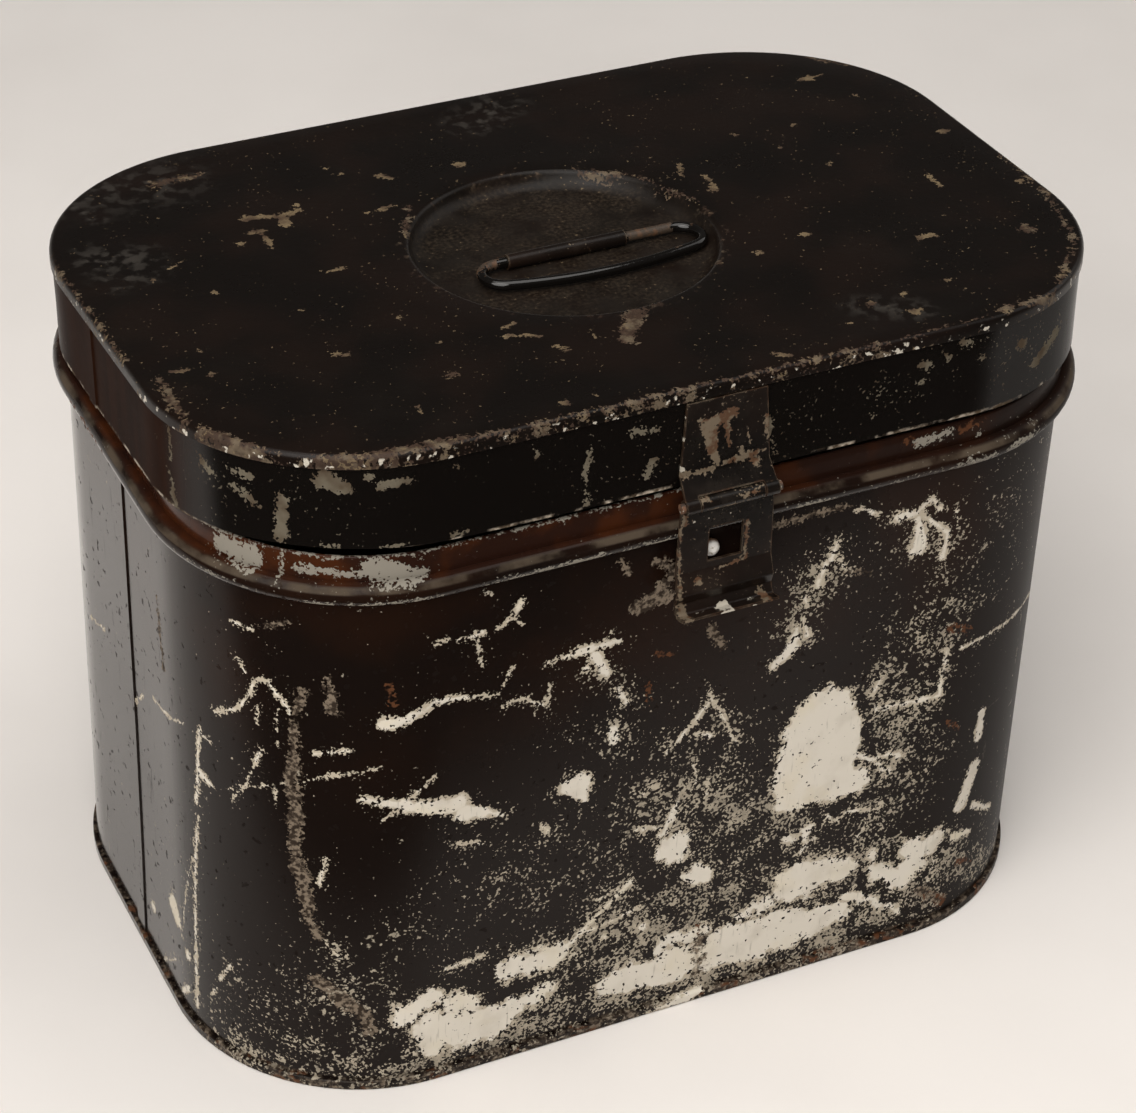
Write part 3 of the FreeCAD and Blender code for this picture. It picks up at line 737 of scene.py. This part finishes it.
skirtChips = {"skirtChips": [  # along the skirt and up from its lower edge, mm
    (1.6, 2.0, -131, 16, -132, 4), (1.5, -146, 22, -140, 22), (1.5, 0.8, -145, 17, -138, 13),
    (3.0, 2.4, -119, 24, -114, 22), (1.5, -107, 25), (1.3, 1.0, -104, 22, -95, 23), (0.6, -83, 24),
    (0.7, 0.6, -170, 27, -170, 16), (0.7, 0.9, -171, 12, -169, 1), (1.6, 1.2, -156, 21, -153, 19),
    (1.5, -58, 22), (0.6, 0.5, -41, 20, -43, 12, -42, 1), (1.6, 1.2, -27, 22, -20, 21),
    (1.0, 1.4, -23, 6, -21, 11), (1.2, 1.0, 66, 22, 70, 21), (1.5, 76, 22), (1.2, 88, 19), (1.0, 67, 16),
    (1.8, 1.4, 81, 26, 83, 26), (1.8, 103, 19), (2.4, 1.6, 110, 10, 122, 16), (1.2, 51, 8),
    (0.9, 0.6, 16, 15, 19, 3), (0.8, 0.7, -104, 2, -97, 2), (0.8, 0.7, -84, 2, -79, 2),
    (0.8, 0.7, -120, 2, -116, 2),
]}
skirtSpecks = {"skirtSpecks": [
    (34, 0.4, 20, 12, 60, 16), (26, 0.25, -40, 12, -18, 14), (24, 0.4, 95, 20, 120, 12),
    (26, 0.25, -150, 16, -118, 14),
]}

lid = {"top": 230.49, "sheet": 0.7, "flangeOut": 66.0, "flangeDrop": 4.3, "round": 1.8, "roundRows": 6,
       "innerRoundRows": 4, "dishX": -3.5, "dishY": -4.5, "dishOut": 49.5, "dishDepth": 5.5, "dishRound": 2.0,
       "dishSlope": 75.0, "dishRows": 6, "floorShares": (0.75, 0.5, 0.28, 0.1), "wave": 0.45,
       "waveLength": 60.0, "panelRows": 9, "steps": {"front": 26, "corner": 24, "end": 20, "back": 52}}
skirt = {"foot": 198.29, "out": 65.3, "step": 3.0, "innerStep": 4.0, "seamY": 13.0, "seamHalf": 3.0,
         "seamProud": 0.5, "seamGap": 2.4, "wave": 0.25, "waveLength": 55.0, "raised": 1.8,
         "raisedAt": -122.0, "raisedHalf": 34.0, "steps": {"front": 26, "corner": 26, "end": 20, "back": 36}}


def lidJapanMaterial():
    finish = {"black": tone(0.0042, 0.0028, 0.0021), "brown": tone(0.0076, 0.004, 0.0027),
              "chip": tone(0.16, 0.117, 0.066), "edge": tone(0.05, 0.03, 0.02),
              "tan": tone(0.125, 0.094, 0.062), "fleck": tone(0.5, 0.46, 0.39),
              "mottle": tone(0.032, 0.023, 0.0152), "rub": tone(0.04, 0.035, 0.03),
              "dust": tone(0.0115, 0.0082, 0.0058), "worn": 0.62, "ior": 1.27, "bump": 0.03}
    material, shader, place = newMaterial("lidJapan", onLid=True)
    unrolled = useGroup(unrolledGroup, place=place)
    plan = stretched(place, (1, 1, 0))
    flat = wobbled(place, plan, 1.8, 4.0)
    chips = raggedMask(place, strokeDepth(flat, lidChips), 1.3)
    edges = raggedMask(place, less(strokeDepth(flat, lidEdges), 0.8), 2.3)
    rubs = strokeDepth(flat, lidRubs, soft=True)
    grain = useGroup(grainGroup, place=place)
    away = measured("DISTANCE", plan, (lid["dishX"], lid["dishY"], 0))
    dish = fade(away, lid["dishOut"] + 0.5, lid["dishOut"] - 5)
    ring = times(fade(away, lid["dishOut"] - 3, lid["dishOut"] - 1),
                 fade(away, lid["dishOut"] + 3.5, lid["dishOut"] + 0.5))
    flange = times(fade(unrolled["up"], lid["top"] - 0.9, lid["top"] - 1.6),
                   fade(unrolled["out"], lid["flangeOut"] - 2, lid["flangeOut"] - 1))

    # japan with a film of dust, most in the dish, and dull smears
    lacquer = blend(fade(grain["shade"], 0.4, 0.65), finish["black"], finish["brown"])
    dust = timesPlus(dish, 0.75, times(patchy(place, 30, 6, 0.45, 0.8), 0.25))
    dust = times(dust, patchy(place, 9, 6, 0.2, 0.7))
    colour = blend(dust, lacquer, finish["dust"])
    mottle = times(patchy(place, 1.3, 5, 0.36, 0.72), patchy(place, 16, 4, 0.3, 0.7))
    colour = blend(times(mottle, dish), colour, finish["mottle"])
    smear = times(rubs, patchy(place, 4.5, 6, 0.46, 0.62))
    colour = blend(smear, colour, finish["rub"])

    # worn ring and edges, chips, and pale flecks on the flange
    ringWear = times(ring, patchy(place, 4, 4, 0.57, 0.68))
    flangeWear = times(flange, patchy(place, 5, 4, 0.61, 0.66))
    tan = most(times(ringWear, 0.6), most(edges, flangeWear))
    tan = times(tan, timesPlus(cloud(place, 2.4, 3), 0.9, 0.4))
    edgeTone = blend(patchy(place, 5, 5, 0.48, 0.64), finish["edge"], finish["tan"])
    colour = blend(withinOne(tan), colour, edgeTone)
    dots = speckMask(place, timesPlus(tan, 0.5, 0.24), 1.3)
    chipped = most(chips, times(dots, 0.75))
    chipTone = blend(patchy(place, 7, 3, 0.35, 0.7), finish["chip"], finish["edge"])
    colour = blend(chipped, colour, chipTone)
    flecks = times(flange, patchy(place, 2.6, 3, 0.61, 0.67))
    colour = blend(flecks, colour, finish["fleck"])
    inner = innerMask(place)
    colour = blend(inner, colour, tinInside(place))
    worn = most(most(chipped, withinOne(tan)), most(dust, inner))
    setSurface(shader, finish, grain, colour, worn, timesPlus(grain["gloss"], 0.3, 0.16))
    return material


def skirtJapanMaterial():
    finish = {"black": tone(0.0036, 0.0026, 0.0021), "brown": tone(0.02, 0.0078, 0.0042),
              "chip": tone(0.125, 0.108, 0.08), "tan": tone(0.07, 0.051, 0.034),
              "hem": tone(0.36, 0.31, 0.25), "worn": 0.6, "ior": 1.04, "coatIor": 1.34, "coatRough": 0.14,
              "bump": 0.012}
    spans = {"endFront": (-150, -176), "endBack": (-330, -250), "right": (70, 130), "back": (-250, -330)}
    material, shader, place = newMaterial("skirtJapan", onLid=True)
    unrolled = useGroup(unrolledGroup, place=place)
    along = unrolled["along"]
    flat = vectorCalc("SUBTRACT", unrolled["flat"], (0, skirt["foot"], 0))
    flat = wobbled(place, flat, 0.8, 4.0)
    chips = raggedMask(place, strokeDepth(flat, skirtChips), 1.7)
    dots = speckMask(place, plus(strokeDepth(flat, skirtSpecks, soft=True), 0.12), 1.2)
    grain = useGroup(grainGroup, place=place)

    # brown streaks on the left end, a rubbed lower edge, chips
    endward = times(fade(along, *spans["endFront"]), fade(along, *spans["endBack"]))
    streaks = timesPlus(patchy(stretched(place, (0.12, 0.12, 0.01)), 1.0, 3, 0.3, 0.62), 0.4, 0.5)
    lacquer = blend(times(endward, streaks), finish["black"], finish["brown"])
    lowEdge = fade(unrolled["up"], skirt["foot"] + 1.3, skirt["foot"] + 0.5)
    rubbed = times(lowEdge, patchy(place, 7, 5, 0.44, 0.58))
    hemTone = blend(patchy(place, 3, 3, 0.4, 0.6), finish["tan"], finish["hem"])
    colour = blend(rubbed, lacquer, hemTone)
    chipTone = blend(patchy(place, 8, 3, 0.4, 0.66), finish["chip"], finish["tan"])
    chipped = most(chips, times(dots, 0.7))
    colour = blend(chipped, colour, chipTone)
    inner = innerMask(place)
    colour = blend(inner, colour, tinInside(place))
    worn = most(most(chipped, rubbed), inner)
    gloss = timesPlus(grain["gloss"], 0.2, timesPlus(endward, 0.25, 0.06))
    setSurface(shader, finish, grain, colour, worn, gloss)
    dullRight = times(most(fade(along, *spans["right"]), fade(along, *spans["back"])), 0.8)
    setCoat(shader, finish, most(most(worn, endward), dullRight))
    return material


def dishRows(sheetBelow):
    # section of the recess from its edge to its floor, on the upper or the lower side of the sheet
    slope, count = lid["dishSlope"], lid["dishRows"]
    hollow = lid["dishDepth"] / (1 - math.cos(math.radians(slope))) - lid["dishRound"]
    floorOut = lid["dishOut"] - (lid["dishRound"] + hollow) * math.sin(math.radians(slope))
    edgeUp, bowlUp = lid["top"] - lid["dishRound"], lid["top"] - lid["dishDepth"] + hollow
    edge = arc(lid["dishOut"], edgeUp, lid["dishRound"] - sheetBelow, 90, 90 + slope, count)
    bowl = arc(floorOut, bowlUp, hollow + sheetBelow, slope - 90, -90, count)
    return edge + bowl + [(floorOut * share, bowl[-1][1]) for share in lid["floorShares"]]


def lidRows(sheetBelow, roundRows):
    # rows from the edge of the lid to its dish: how far towards the edge, distance out, and height
    bendOut, bendUp = lid["flangeOut"] - lid["round"], lid["top"] - lid["round"]
    low, out = lid["top"] - lid["flangeDrop"], lid["flangeOut"] - sheetBelow
    rows = [(1, out, low), (1, out, (low + bendUp) / 2)]
    rows += [(1, out, up) for out, up in arc(bendOut, bendUp, lid["round"] - sheetBelow, 0, 90, roundRows)]
    rows += [(1 - k / lid["panelRows"], bendOut, lid["top"] - sheetBelow) for k in range(1, lid["panelRows"])]
    return rows + [(0, out, up) for out, up in dishRows(sheetBelow)]


def makeLidTop():
    stations = walkPlan(lid["steps"])
    count = len(stations)
    dishPlace = Vector((lid["dishX"], lid["dishY"])) * mm
    verts, faces, inner = [], [], []
    for side, rows in enumerate((lidRows(0, lid["roundRows"]), lidRows(lid["sheet"], lid["innerRoundRows"]))):
        first = len(verts)
        for share, out, up in rows:
            for place, heading, along in stations:
                edgePlace = place + heading * out * mm
                toward = (edgePlace - dishPlace).normalized()
                dishOut = lid["dishOut"] if share > 0 else out
                point = (dishPlace + toward * dishOut * mm).lerp(edgePlace, share)
                wave = 0.5 + 0.5 * noise.noise(point.to_3d() / (lid["waveLength"] * mm))
                sunk = lid["wave"] * wave * ease(share, 0, 0.3) * (1 - ease(share, 0.75, 1))
                verts.append(point.to_3d() + Vector((0, 0, (up - sunk) * mm)))
        for row in range(len(rows) - 1):
            for here in range(count):
                after = (here + 1) % count
                corner = first + row * count
                faces.append((corner + here, corner + after, corner + count + after, corner + count + here))
        verts.append(dishPlace.to_3d() + Vector((0, 0, rows[-1][2] * mm)))
        last = first + (len(rows) - 1) * count
        faces += [(last + here, last + (here + 1) % count, len(verts) - 1) for here in range(count)]
        inner += [side] * (len(faces) - len(inner))
    for here in range(count):
        after = (here + 1) % count
        faces.append((here, after, first + after, first + here))
        inner.append(0)
    japan = lidJapanMaterial()
    piece = addPiece("lidTop", verts, faces, "lid", japan, ["lid_top"], lidTurn)
    markInner(piece, inner)


def makeLidSkirt():
    out, foot, top = skirt["out"], skirt["foot"], lid["top"] - lid["round"]
    seamTop = top - skirt["seamGap"]
    outer = [(out, up) for up in levels(foot, seamTop - 0.1, skirt["step"])] + [(out, seamTop), (out, top)]
    section = outer + [(out - lid["sheet"], up) for up in reversed(levels(foot, top, skirt["innerStep"]))]
    section = [(a * mm, b * mm) for a, b in section]

    def bend(point, along, outFrom, up):
        share = 1 - ease(up, foot * mm, top * mm)
        wave = 0.5 + 0.5 * noise.noise(Vector((point.x, point.y, up)) / (skirt["waveLength"] * mm))
        bent = outFrom - skirt["wave"] * mm * wave * ease(share, 0.1, 0.6)
        near = (along / mm - skirt["raisedAt"]) / skirt["raisedHalf"]
        raised = up + skirt["raised"] * mm * math.exp(-near * near) * share
        onSeam = atSeam(point, skirt["seamY"], skirt["seamHalf"]) and outFrom > (out - 0.1) * mm
        if onSeam and up < seamTop * mm:
            bent += skirt["seamProud"] * mm
        return bent, raised

    stations = walkPlan(skirt["steps"], seamLines(skirt["seamY"], skirt["seamHalf"]))
    verts, faces = sweepRing(stations, section, bend)
    japan = skirtJapanMaterial()
    piece = addPiece("lidSkirt", verts, faces, "lid", japan, ["lid_skirt"], lidTurn)
    rows = len(section)
    markInner(piece, [1 if k % rows >= len(outer) else 0 for k in range(len(faces))])


makeLidTop()
makeLidSkirt()
print("lid made")


# straps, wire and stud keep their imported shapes; these finishes dress them

haspLidChips = {"haspLidChips": [  # across, and up from the lower edge of the skirt, mm
    (2.0, 2.2, -5, 19, 4, 21), (2.6, 1.4, -4, 18, -1, 6), (1.0, -7, 21, -3, 20), (0.9, 0.6, 2, 18, 3, 10),
    (0.6, 0.5, 7, 9, 8, 4), (0.5, 9, 13, 10, 10), (1.4, 12, 3), (0.7, 0.5, 15, 17, 16, 10),
    (0.7, 0.5, 17, 9, 18, 2), (1.0, 0.8, -12, 4, -2, 4), (0.9, 0.8, 2, 5, 15, 6),
]}
haspLidFlecks = {"haspLidFlecks": [
    (0.8, -12, 23), (0.8, -12, 16), (0.9, -13, 13), (0.8, -14, 9), (1.0, -12, 6), (0.9, -14, 2),
]}
haspDropChips = {"haspDropChips": [  # across and up, mm
    (0.8, 0.6, 5, 206, 10, 206), (0.9, 0.7, -13, 206, -6, 207), (0.9, 0.8, 8, 208, 16, 208),
    (0.9, 0.7, -12, 202, -12, 198), (0.8, 0.6, -8, 203, 6, 203), (0.8, 0.6, 9, 180, 9, 194),
    (0.5, -1, 179, 8, 180), (0.6, 0.5, -13, 198, -13, 172), (1.1, -7, 177), (1.6, -12, 169, -12, 163),
    (1.0, 0.8, 14, 168, 17, 165),
]}
haspDropFlecks = {"haspDropFlecks": [
    (0.8, -8, 166, -6, 166), (0.9, 1.1, -2, 166, 2, 167), (0.7, 5, 165), (0.9, 0.7, 10, 166, 13, 166),
    (0.4, -9, 198), (0.4, -4, 198), (0.4, 3, 198),
]}
wireWear = {"wireWear": [  # across and back, mm
    (4.0, 20, -3, 29, -4), (3.0, -36, -6, -30, -3),
]}


def strapMaterial(name, chips=None, flecks=None, foot=0, onLid=False):
    finish = {"black": tone(0.005, 0.0037, 0.003), "brown": tone(0.0115, 0.0062, 0.0041),
              "chip": tone(0.14, 0.107, 0.072), "rust": tone(0.085, 0.043, 0.022),
              "fleck": tone(0.42, 0.385, 0.32), "film": tone(0.04, 0.031, 0.024), "edge": 1.0,
              "worn": 0.6, "ior": 1.3, "bump": 0.03}
    material, shader, place = newMaterial(name, onLid)
    grain = useGroup(grainGroup, place=place)
    colour = blend(fade(grain["shade"], 0.35, 0.65), finish["black"], finish["brown"])
    colour = blend(times(patchy(place, 8, 5, 0.45, 0.8), 0.25), colour, finish["film"])
    edges = useGroup(edgeGroup, place=place, radius=finish["edge"] * mm, amount=-0.12)["mask"]
    worn = times(edges, timesPlus(cloud(place, 3, 3), 1.1, 0.1))
    edgeTone = blend(patchy(place, 6, 3, 0.42, 0.6), finish["rust"], finish["chip"])
    colour = blend(withinOne(worn), colour, edgeTone)
    dots = speckMask(place, 0.3, 0.9)
    colour = blend(times(dots, 0.8), colour, finish["chip"])
    bare = most(worn, dots)
    if chips:
        x, y, z = parted(place)
        flat = wobbled(place, paired(x, less(z, foot)), 0.5, 3.0)
        chipped = raggedMask(place, strokeDepth(flat, chips), 1.2)
        chipTone = blend(patchy(place, 3.5, 3, 0.48, 0.62), finish["chip"], finish["rust"])
        colour = blend(chipped, colour, chipTone)
        flecked = raggedMask(place, strokeDepth(flat, flecks), 0.5)
        colour = blend(flecked, colour, finish["fleck"])
        bare = most(bare, most(chipped, flecked))
    setSurface(shader, finish, grain, colour, bare, timesPlus(grain["gloss"], 0.3, 0.16))
    return material


def wireMaterial():
    finish = {"black": tone(0.0035, 0.0028, 0.0023), "brown": tone(0.04, 0.026, 0.016),
              "rust": tone(0.085, 0.042, 0.02), "worn": 0.6, "ior": 1.5, "bump": 0.03}
    material, shader, place = newMaterial("wireJapan")
    grain = useGroup(grainGroup, place=place)
    flat = wobbled(place, stretched(place, (1, 1, 0)), 0.8, 4.0)
    worn = raggedMask(place, strokeDepth(flat, wireWear), 2.2)
    worn = most(worn, patchy(place, 5, 4, 0.64, 0.7))
    brown = blend(patchy(place, 2, 3, 0.45, 0.65), finish["brown"], finish["rust"])
    colour = blend(worn, finish["black"], brown)
    setSurface(shader, finish, grain, colour, worn, timesPlus(grain["gloss"], 0.12, 0.05))
    return material


def pinMaterial():
    finish = {"rust": tone(0.13, 0.06, 0.03), "dark": tone(0.035, 0.022, 0.015),
              "steel": tone(0.3, 0.27, 0.23), "plain": 0.7, "worn": 0.4, "ior": 1.5, "bump": 0.08}
    material, shader, place = newMaterial("rustyPin")
    grain = useGroup(grainGroup, place=place)
    colour = blend(patchy(place, 2, 4, 0.4, 0.6), finish["dark"], finish["rust"])
    bright = patchy(place, 1.2, 3, 0.6, 0.68)
    colour = blend(bright, colour, finish["steel"])
    setSurface(shader, finish, grain, colour, bright, finish["plain"])
    return material


def paleStudMaterial():
    # the near-white tin is the stud's bare metal and partly a painted highlight standing in for its glint
    finish = {"tin": tone(0.78, 0.76, 0.72), "stain": tone(0.42, 0.37, 0.3), "rust": tone(0.14, 0.07, 0.035),
              "plain": 0.38, "worn": 0.7, "ior": 1.5, "bump": 0.05, "root": (-103.2, -101.8)}  # root in mm
    material, shader, place = newMaterial("studTinAndPaintedGlint")
    grain = useGroup(grainGroup, place=place)
    colour = blend(patchy(place, 1.6, 4, 0.5, 0.66), finish["tin"], finish["stain"])
    root = fade(parted(place)[1], *finish["root"])  # rust where the stem meets the wall
    colour = blend(root, colour, finish["rust"])
    setSurface(shader, finish, grain, colour, root, finish["plain"])
    return material


def dress(material, *names):
    for name in names:
        nodes[name].data.materials.clear()
        nodes[name].data.materials.append(material)


dress(strapMaterial("haspLidJapan", haspLidChips, haspLidFlecks, skirt["foot"], True), "hasp_lid_leaf")
dress(strapMaterial("haspDropJapan", haspDropChips, haspDropFlecks), "hasp_drop_leaf")
dress(strapMaterial("hingeJapan"), "hinge_lid_leaf_left", "hinge_lid_leaf_right", "hinge_body_leaf_left",
      "hinge_body_leaf_right", "bail_clip")
dress(wireMaterial(), "bail_handle")
dress(pinMaterial(), "hasp_pin", "hinge_pin_left", "hinge_pin_right")
dress(paleStudMaterial(), "catch_stud")
dress(wallJapan, "base_panel")
print("straps, wire and stud dressed")


# stage: pale floor, soft lamps and the camera

stage = {"half": 8.0, "colour": tone(0.83, 0.795, 0.765), "shade": tone(0.79, 0.755, 0.725), "rough": 0.9,
         "gleam": 0.1, "distant": tone(0.05, 0.045, 0.04), "darkFrom": -160, "darkTo": -250,
         "toward": (0.444, 0.896, 0), "surround": tone(0.64, 0.59, 0.54), "surroundFrom": 850,
         "surroundTo": 1900, "ambient": tone(0.07, 0.067, 0.064), "horizon": (0.1, 0.02)}
lampColour = (1, 0.97, 0.935)
lamps = {"keyLamp": {"place": (-1.2, -1.05, 1.4), "target": (-0.1, -0.05, 0.1), "size": 2.2, "power": 42},
         "sideLamp": {"place": (1.5, 0.1, 1.2), "target": (0.3, 0.1, 0), "size": 1.4, "power": 5},
         "topLamp": {"place": (-0.1, -0.25, 1.8), "target": (0, 0, 0), "size": 1.8, "power": 19}}
shot = {"azimuth": -26.38, "elevation": 35.26, "roll": 2.12, "distance": 1.10425, "target": (0, 0, 0.118),
        "lens": 106.36, "sensor": 36, "shiftX": 0.00796, "shiftY": -0.0099}


def rayKinds(socket):
    # camera rays, and the rays that show the surround in metal and glass
    light = addNode("LightPath", {}, beside=socket)
    return light["Is Camera Ray"], most(light["Is Glossy Ray"], light["Is Transmission Ray"])


def addFloor():
    mesh = bpy.data.meshes.new("floor")
    half = stage["half"]
    corners = [(-half, -half, 0), (half, -half, 0), (half, half, 0), (-half, half, 0)]
    mesh.from_pydata(corners, [], [(0, 1, 2, 3)])
    material, shader, place = newMaterial("floorPaper")
    paper = blend(patchy(place, 160, 3, 0.35, 0.7), stage["colour"], stage["shade"])
    straight, mirrored = rayKinds(place)
    ahead = measured("DOT_PRODUCT", place, stage["toward"])
    distant = fade(ahead, stage["darkFrom"], stage["darkTo"])  # the lacquer mirrors a dark room in front
    distant = times(distant, mirrored)
    paper = blend(distant, paper, stage["distant"])
    far = fade(measured("LENGTH", place), stage["surroundFrom"], stage["surroundTo"])
    far = times(times(far, most(straight, mirrored)), less(1, distant))
    plug(shader.inputs["Base Color"], blend(far, paper, tone(0, 0, 0)))
    shader.inputs["Emission Color"].default_value = stage["surround"]
    plug(shader.inputs["Emission Strength"], far)
    shader.inputs["Roughness"].default_value = stage["rough"]
    shader.inputs["Specular IOR Level"].default_value = stage["gleam"]
    plug(shader.inputs["Normal"], bumped(cloud(place, 5, 4), 0.2 * mm, 0.3))
    mesh.materials.append(material)
    floor = bpy.data.objects.new("floor", mesh)
    bpy.context.scene.collection.objects.link(floor)


def addLamp(name, place, target, size, power):
    data = bpy.data.lights.new(name, "AREA")
    data.shape = "DISK"
    data.size = size
    data.energy = power
    data.color = lampColour
    lamp = bpy.data.objects.new(name, data)
    lamp.location = place
    lamp.rotation_euler = (Vector(target) - Vector(place)).to_track_quat("-Z", "Y").to_euler()
    bpy.context.scene.collection.objects.link(lamp)


def addWorld():
    world = bpy.data.worlds.new("studio")
    world.use_nodes = True
    colour = world.node_tree.nodes["Background"].inputs["Color"]
    straight, mirrored = rayKinds(colour)
    upward = parted(addNode("TexCoord", {}, beside=colour)["Generated"])[2]
    low = fade(upward, *stage["horizon"])  # in metal, pale only near the horizon
    share = most(straight, times(mirrored, low))
    plug(colour, blend(share, stage["ambient"], stage["surround"]))
    bpy.context.scene.world = world


def addCamera():
    azimuth, elevation = math.radians(shot["azimuth"]), math.radians(shot["elevation"])
    back = Vector((math.sin(azimuth) * math.cos(elevation), -math.cos(azimuth) * math.cos(elevation),
                   math.sin(elevation)))
    data = bpy.data.cameras.new("photographView")
    data.lens = shot["lens"]
    data.sensor_width = shot["sensor"]
    data.sensor_fit = "HORIZONTAL"
    data.shift_x = shot["shiftX"]
    data.shift_y = shot["shiftY"]
    camera = bpy.data.objects.new("photographView", data)
    camera.rotation_mode = "QUATERNION"
    camera.location = Vector(shot["target"]) + back * shot["distance"]
    level = (-back).to_track_quat("-Z", "Y")
    camera.rotation_quaternion = level @ Matrix.Rotation(math.radians(shot["roll"]), 3, "Z").to_quaternion()
    bpy.context.scene.collection.objects.link(camera)
    bpy.context.scene.camera = camera


addFloor()
for name, lamp in lamps.items():
    addLamp(name, **lamp)
addWorld()
addCamera()
bpy.context.scene.view_settings.view_transform = "Standard"
print("stage set")
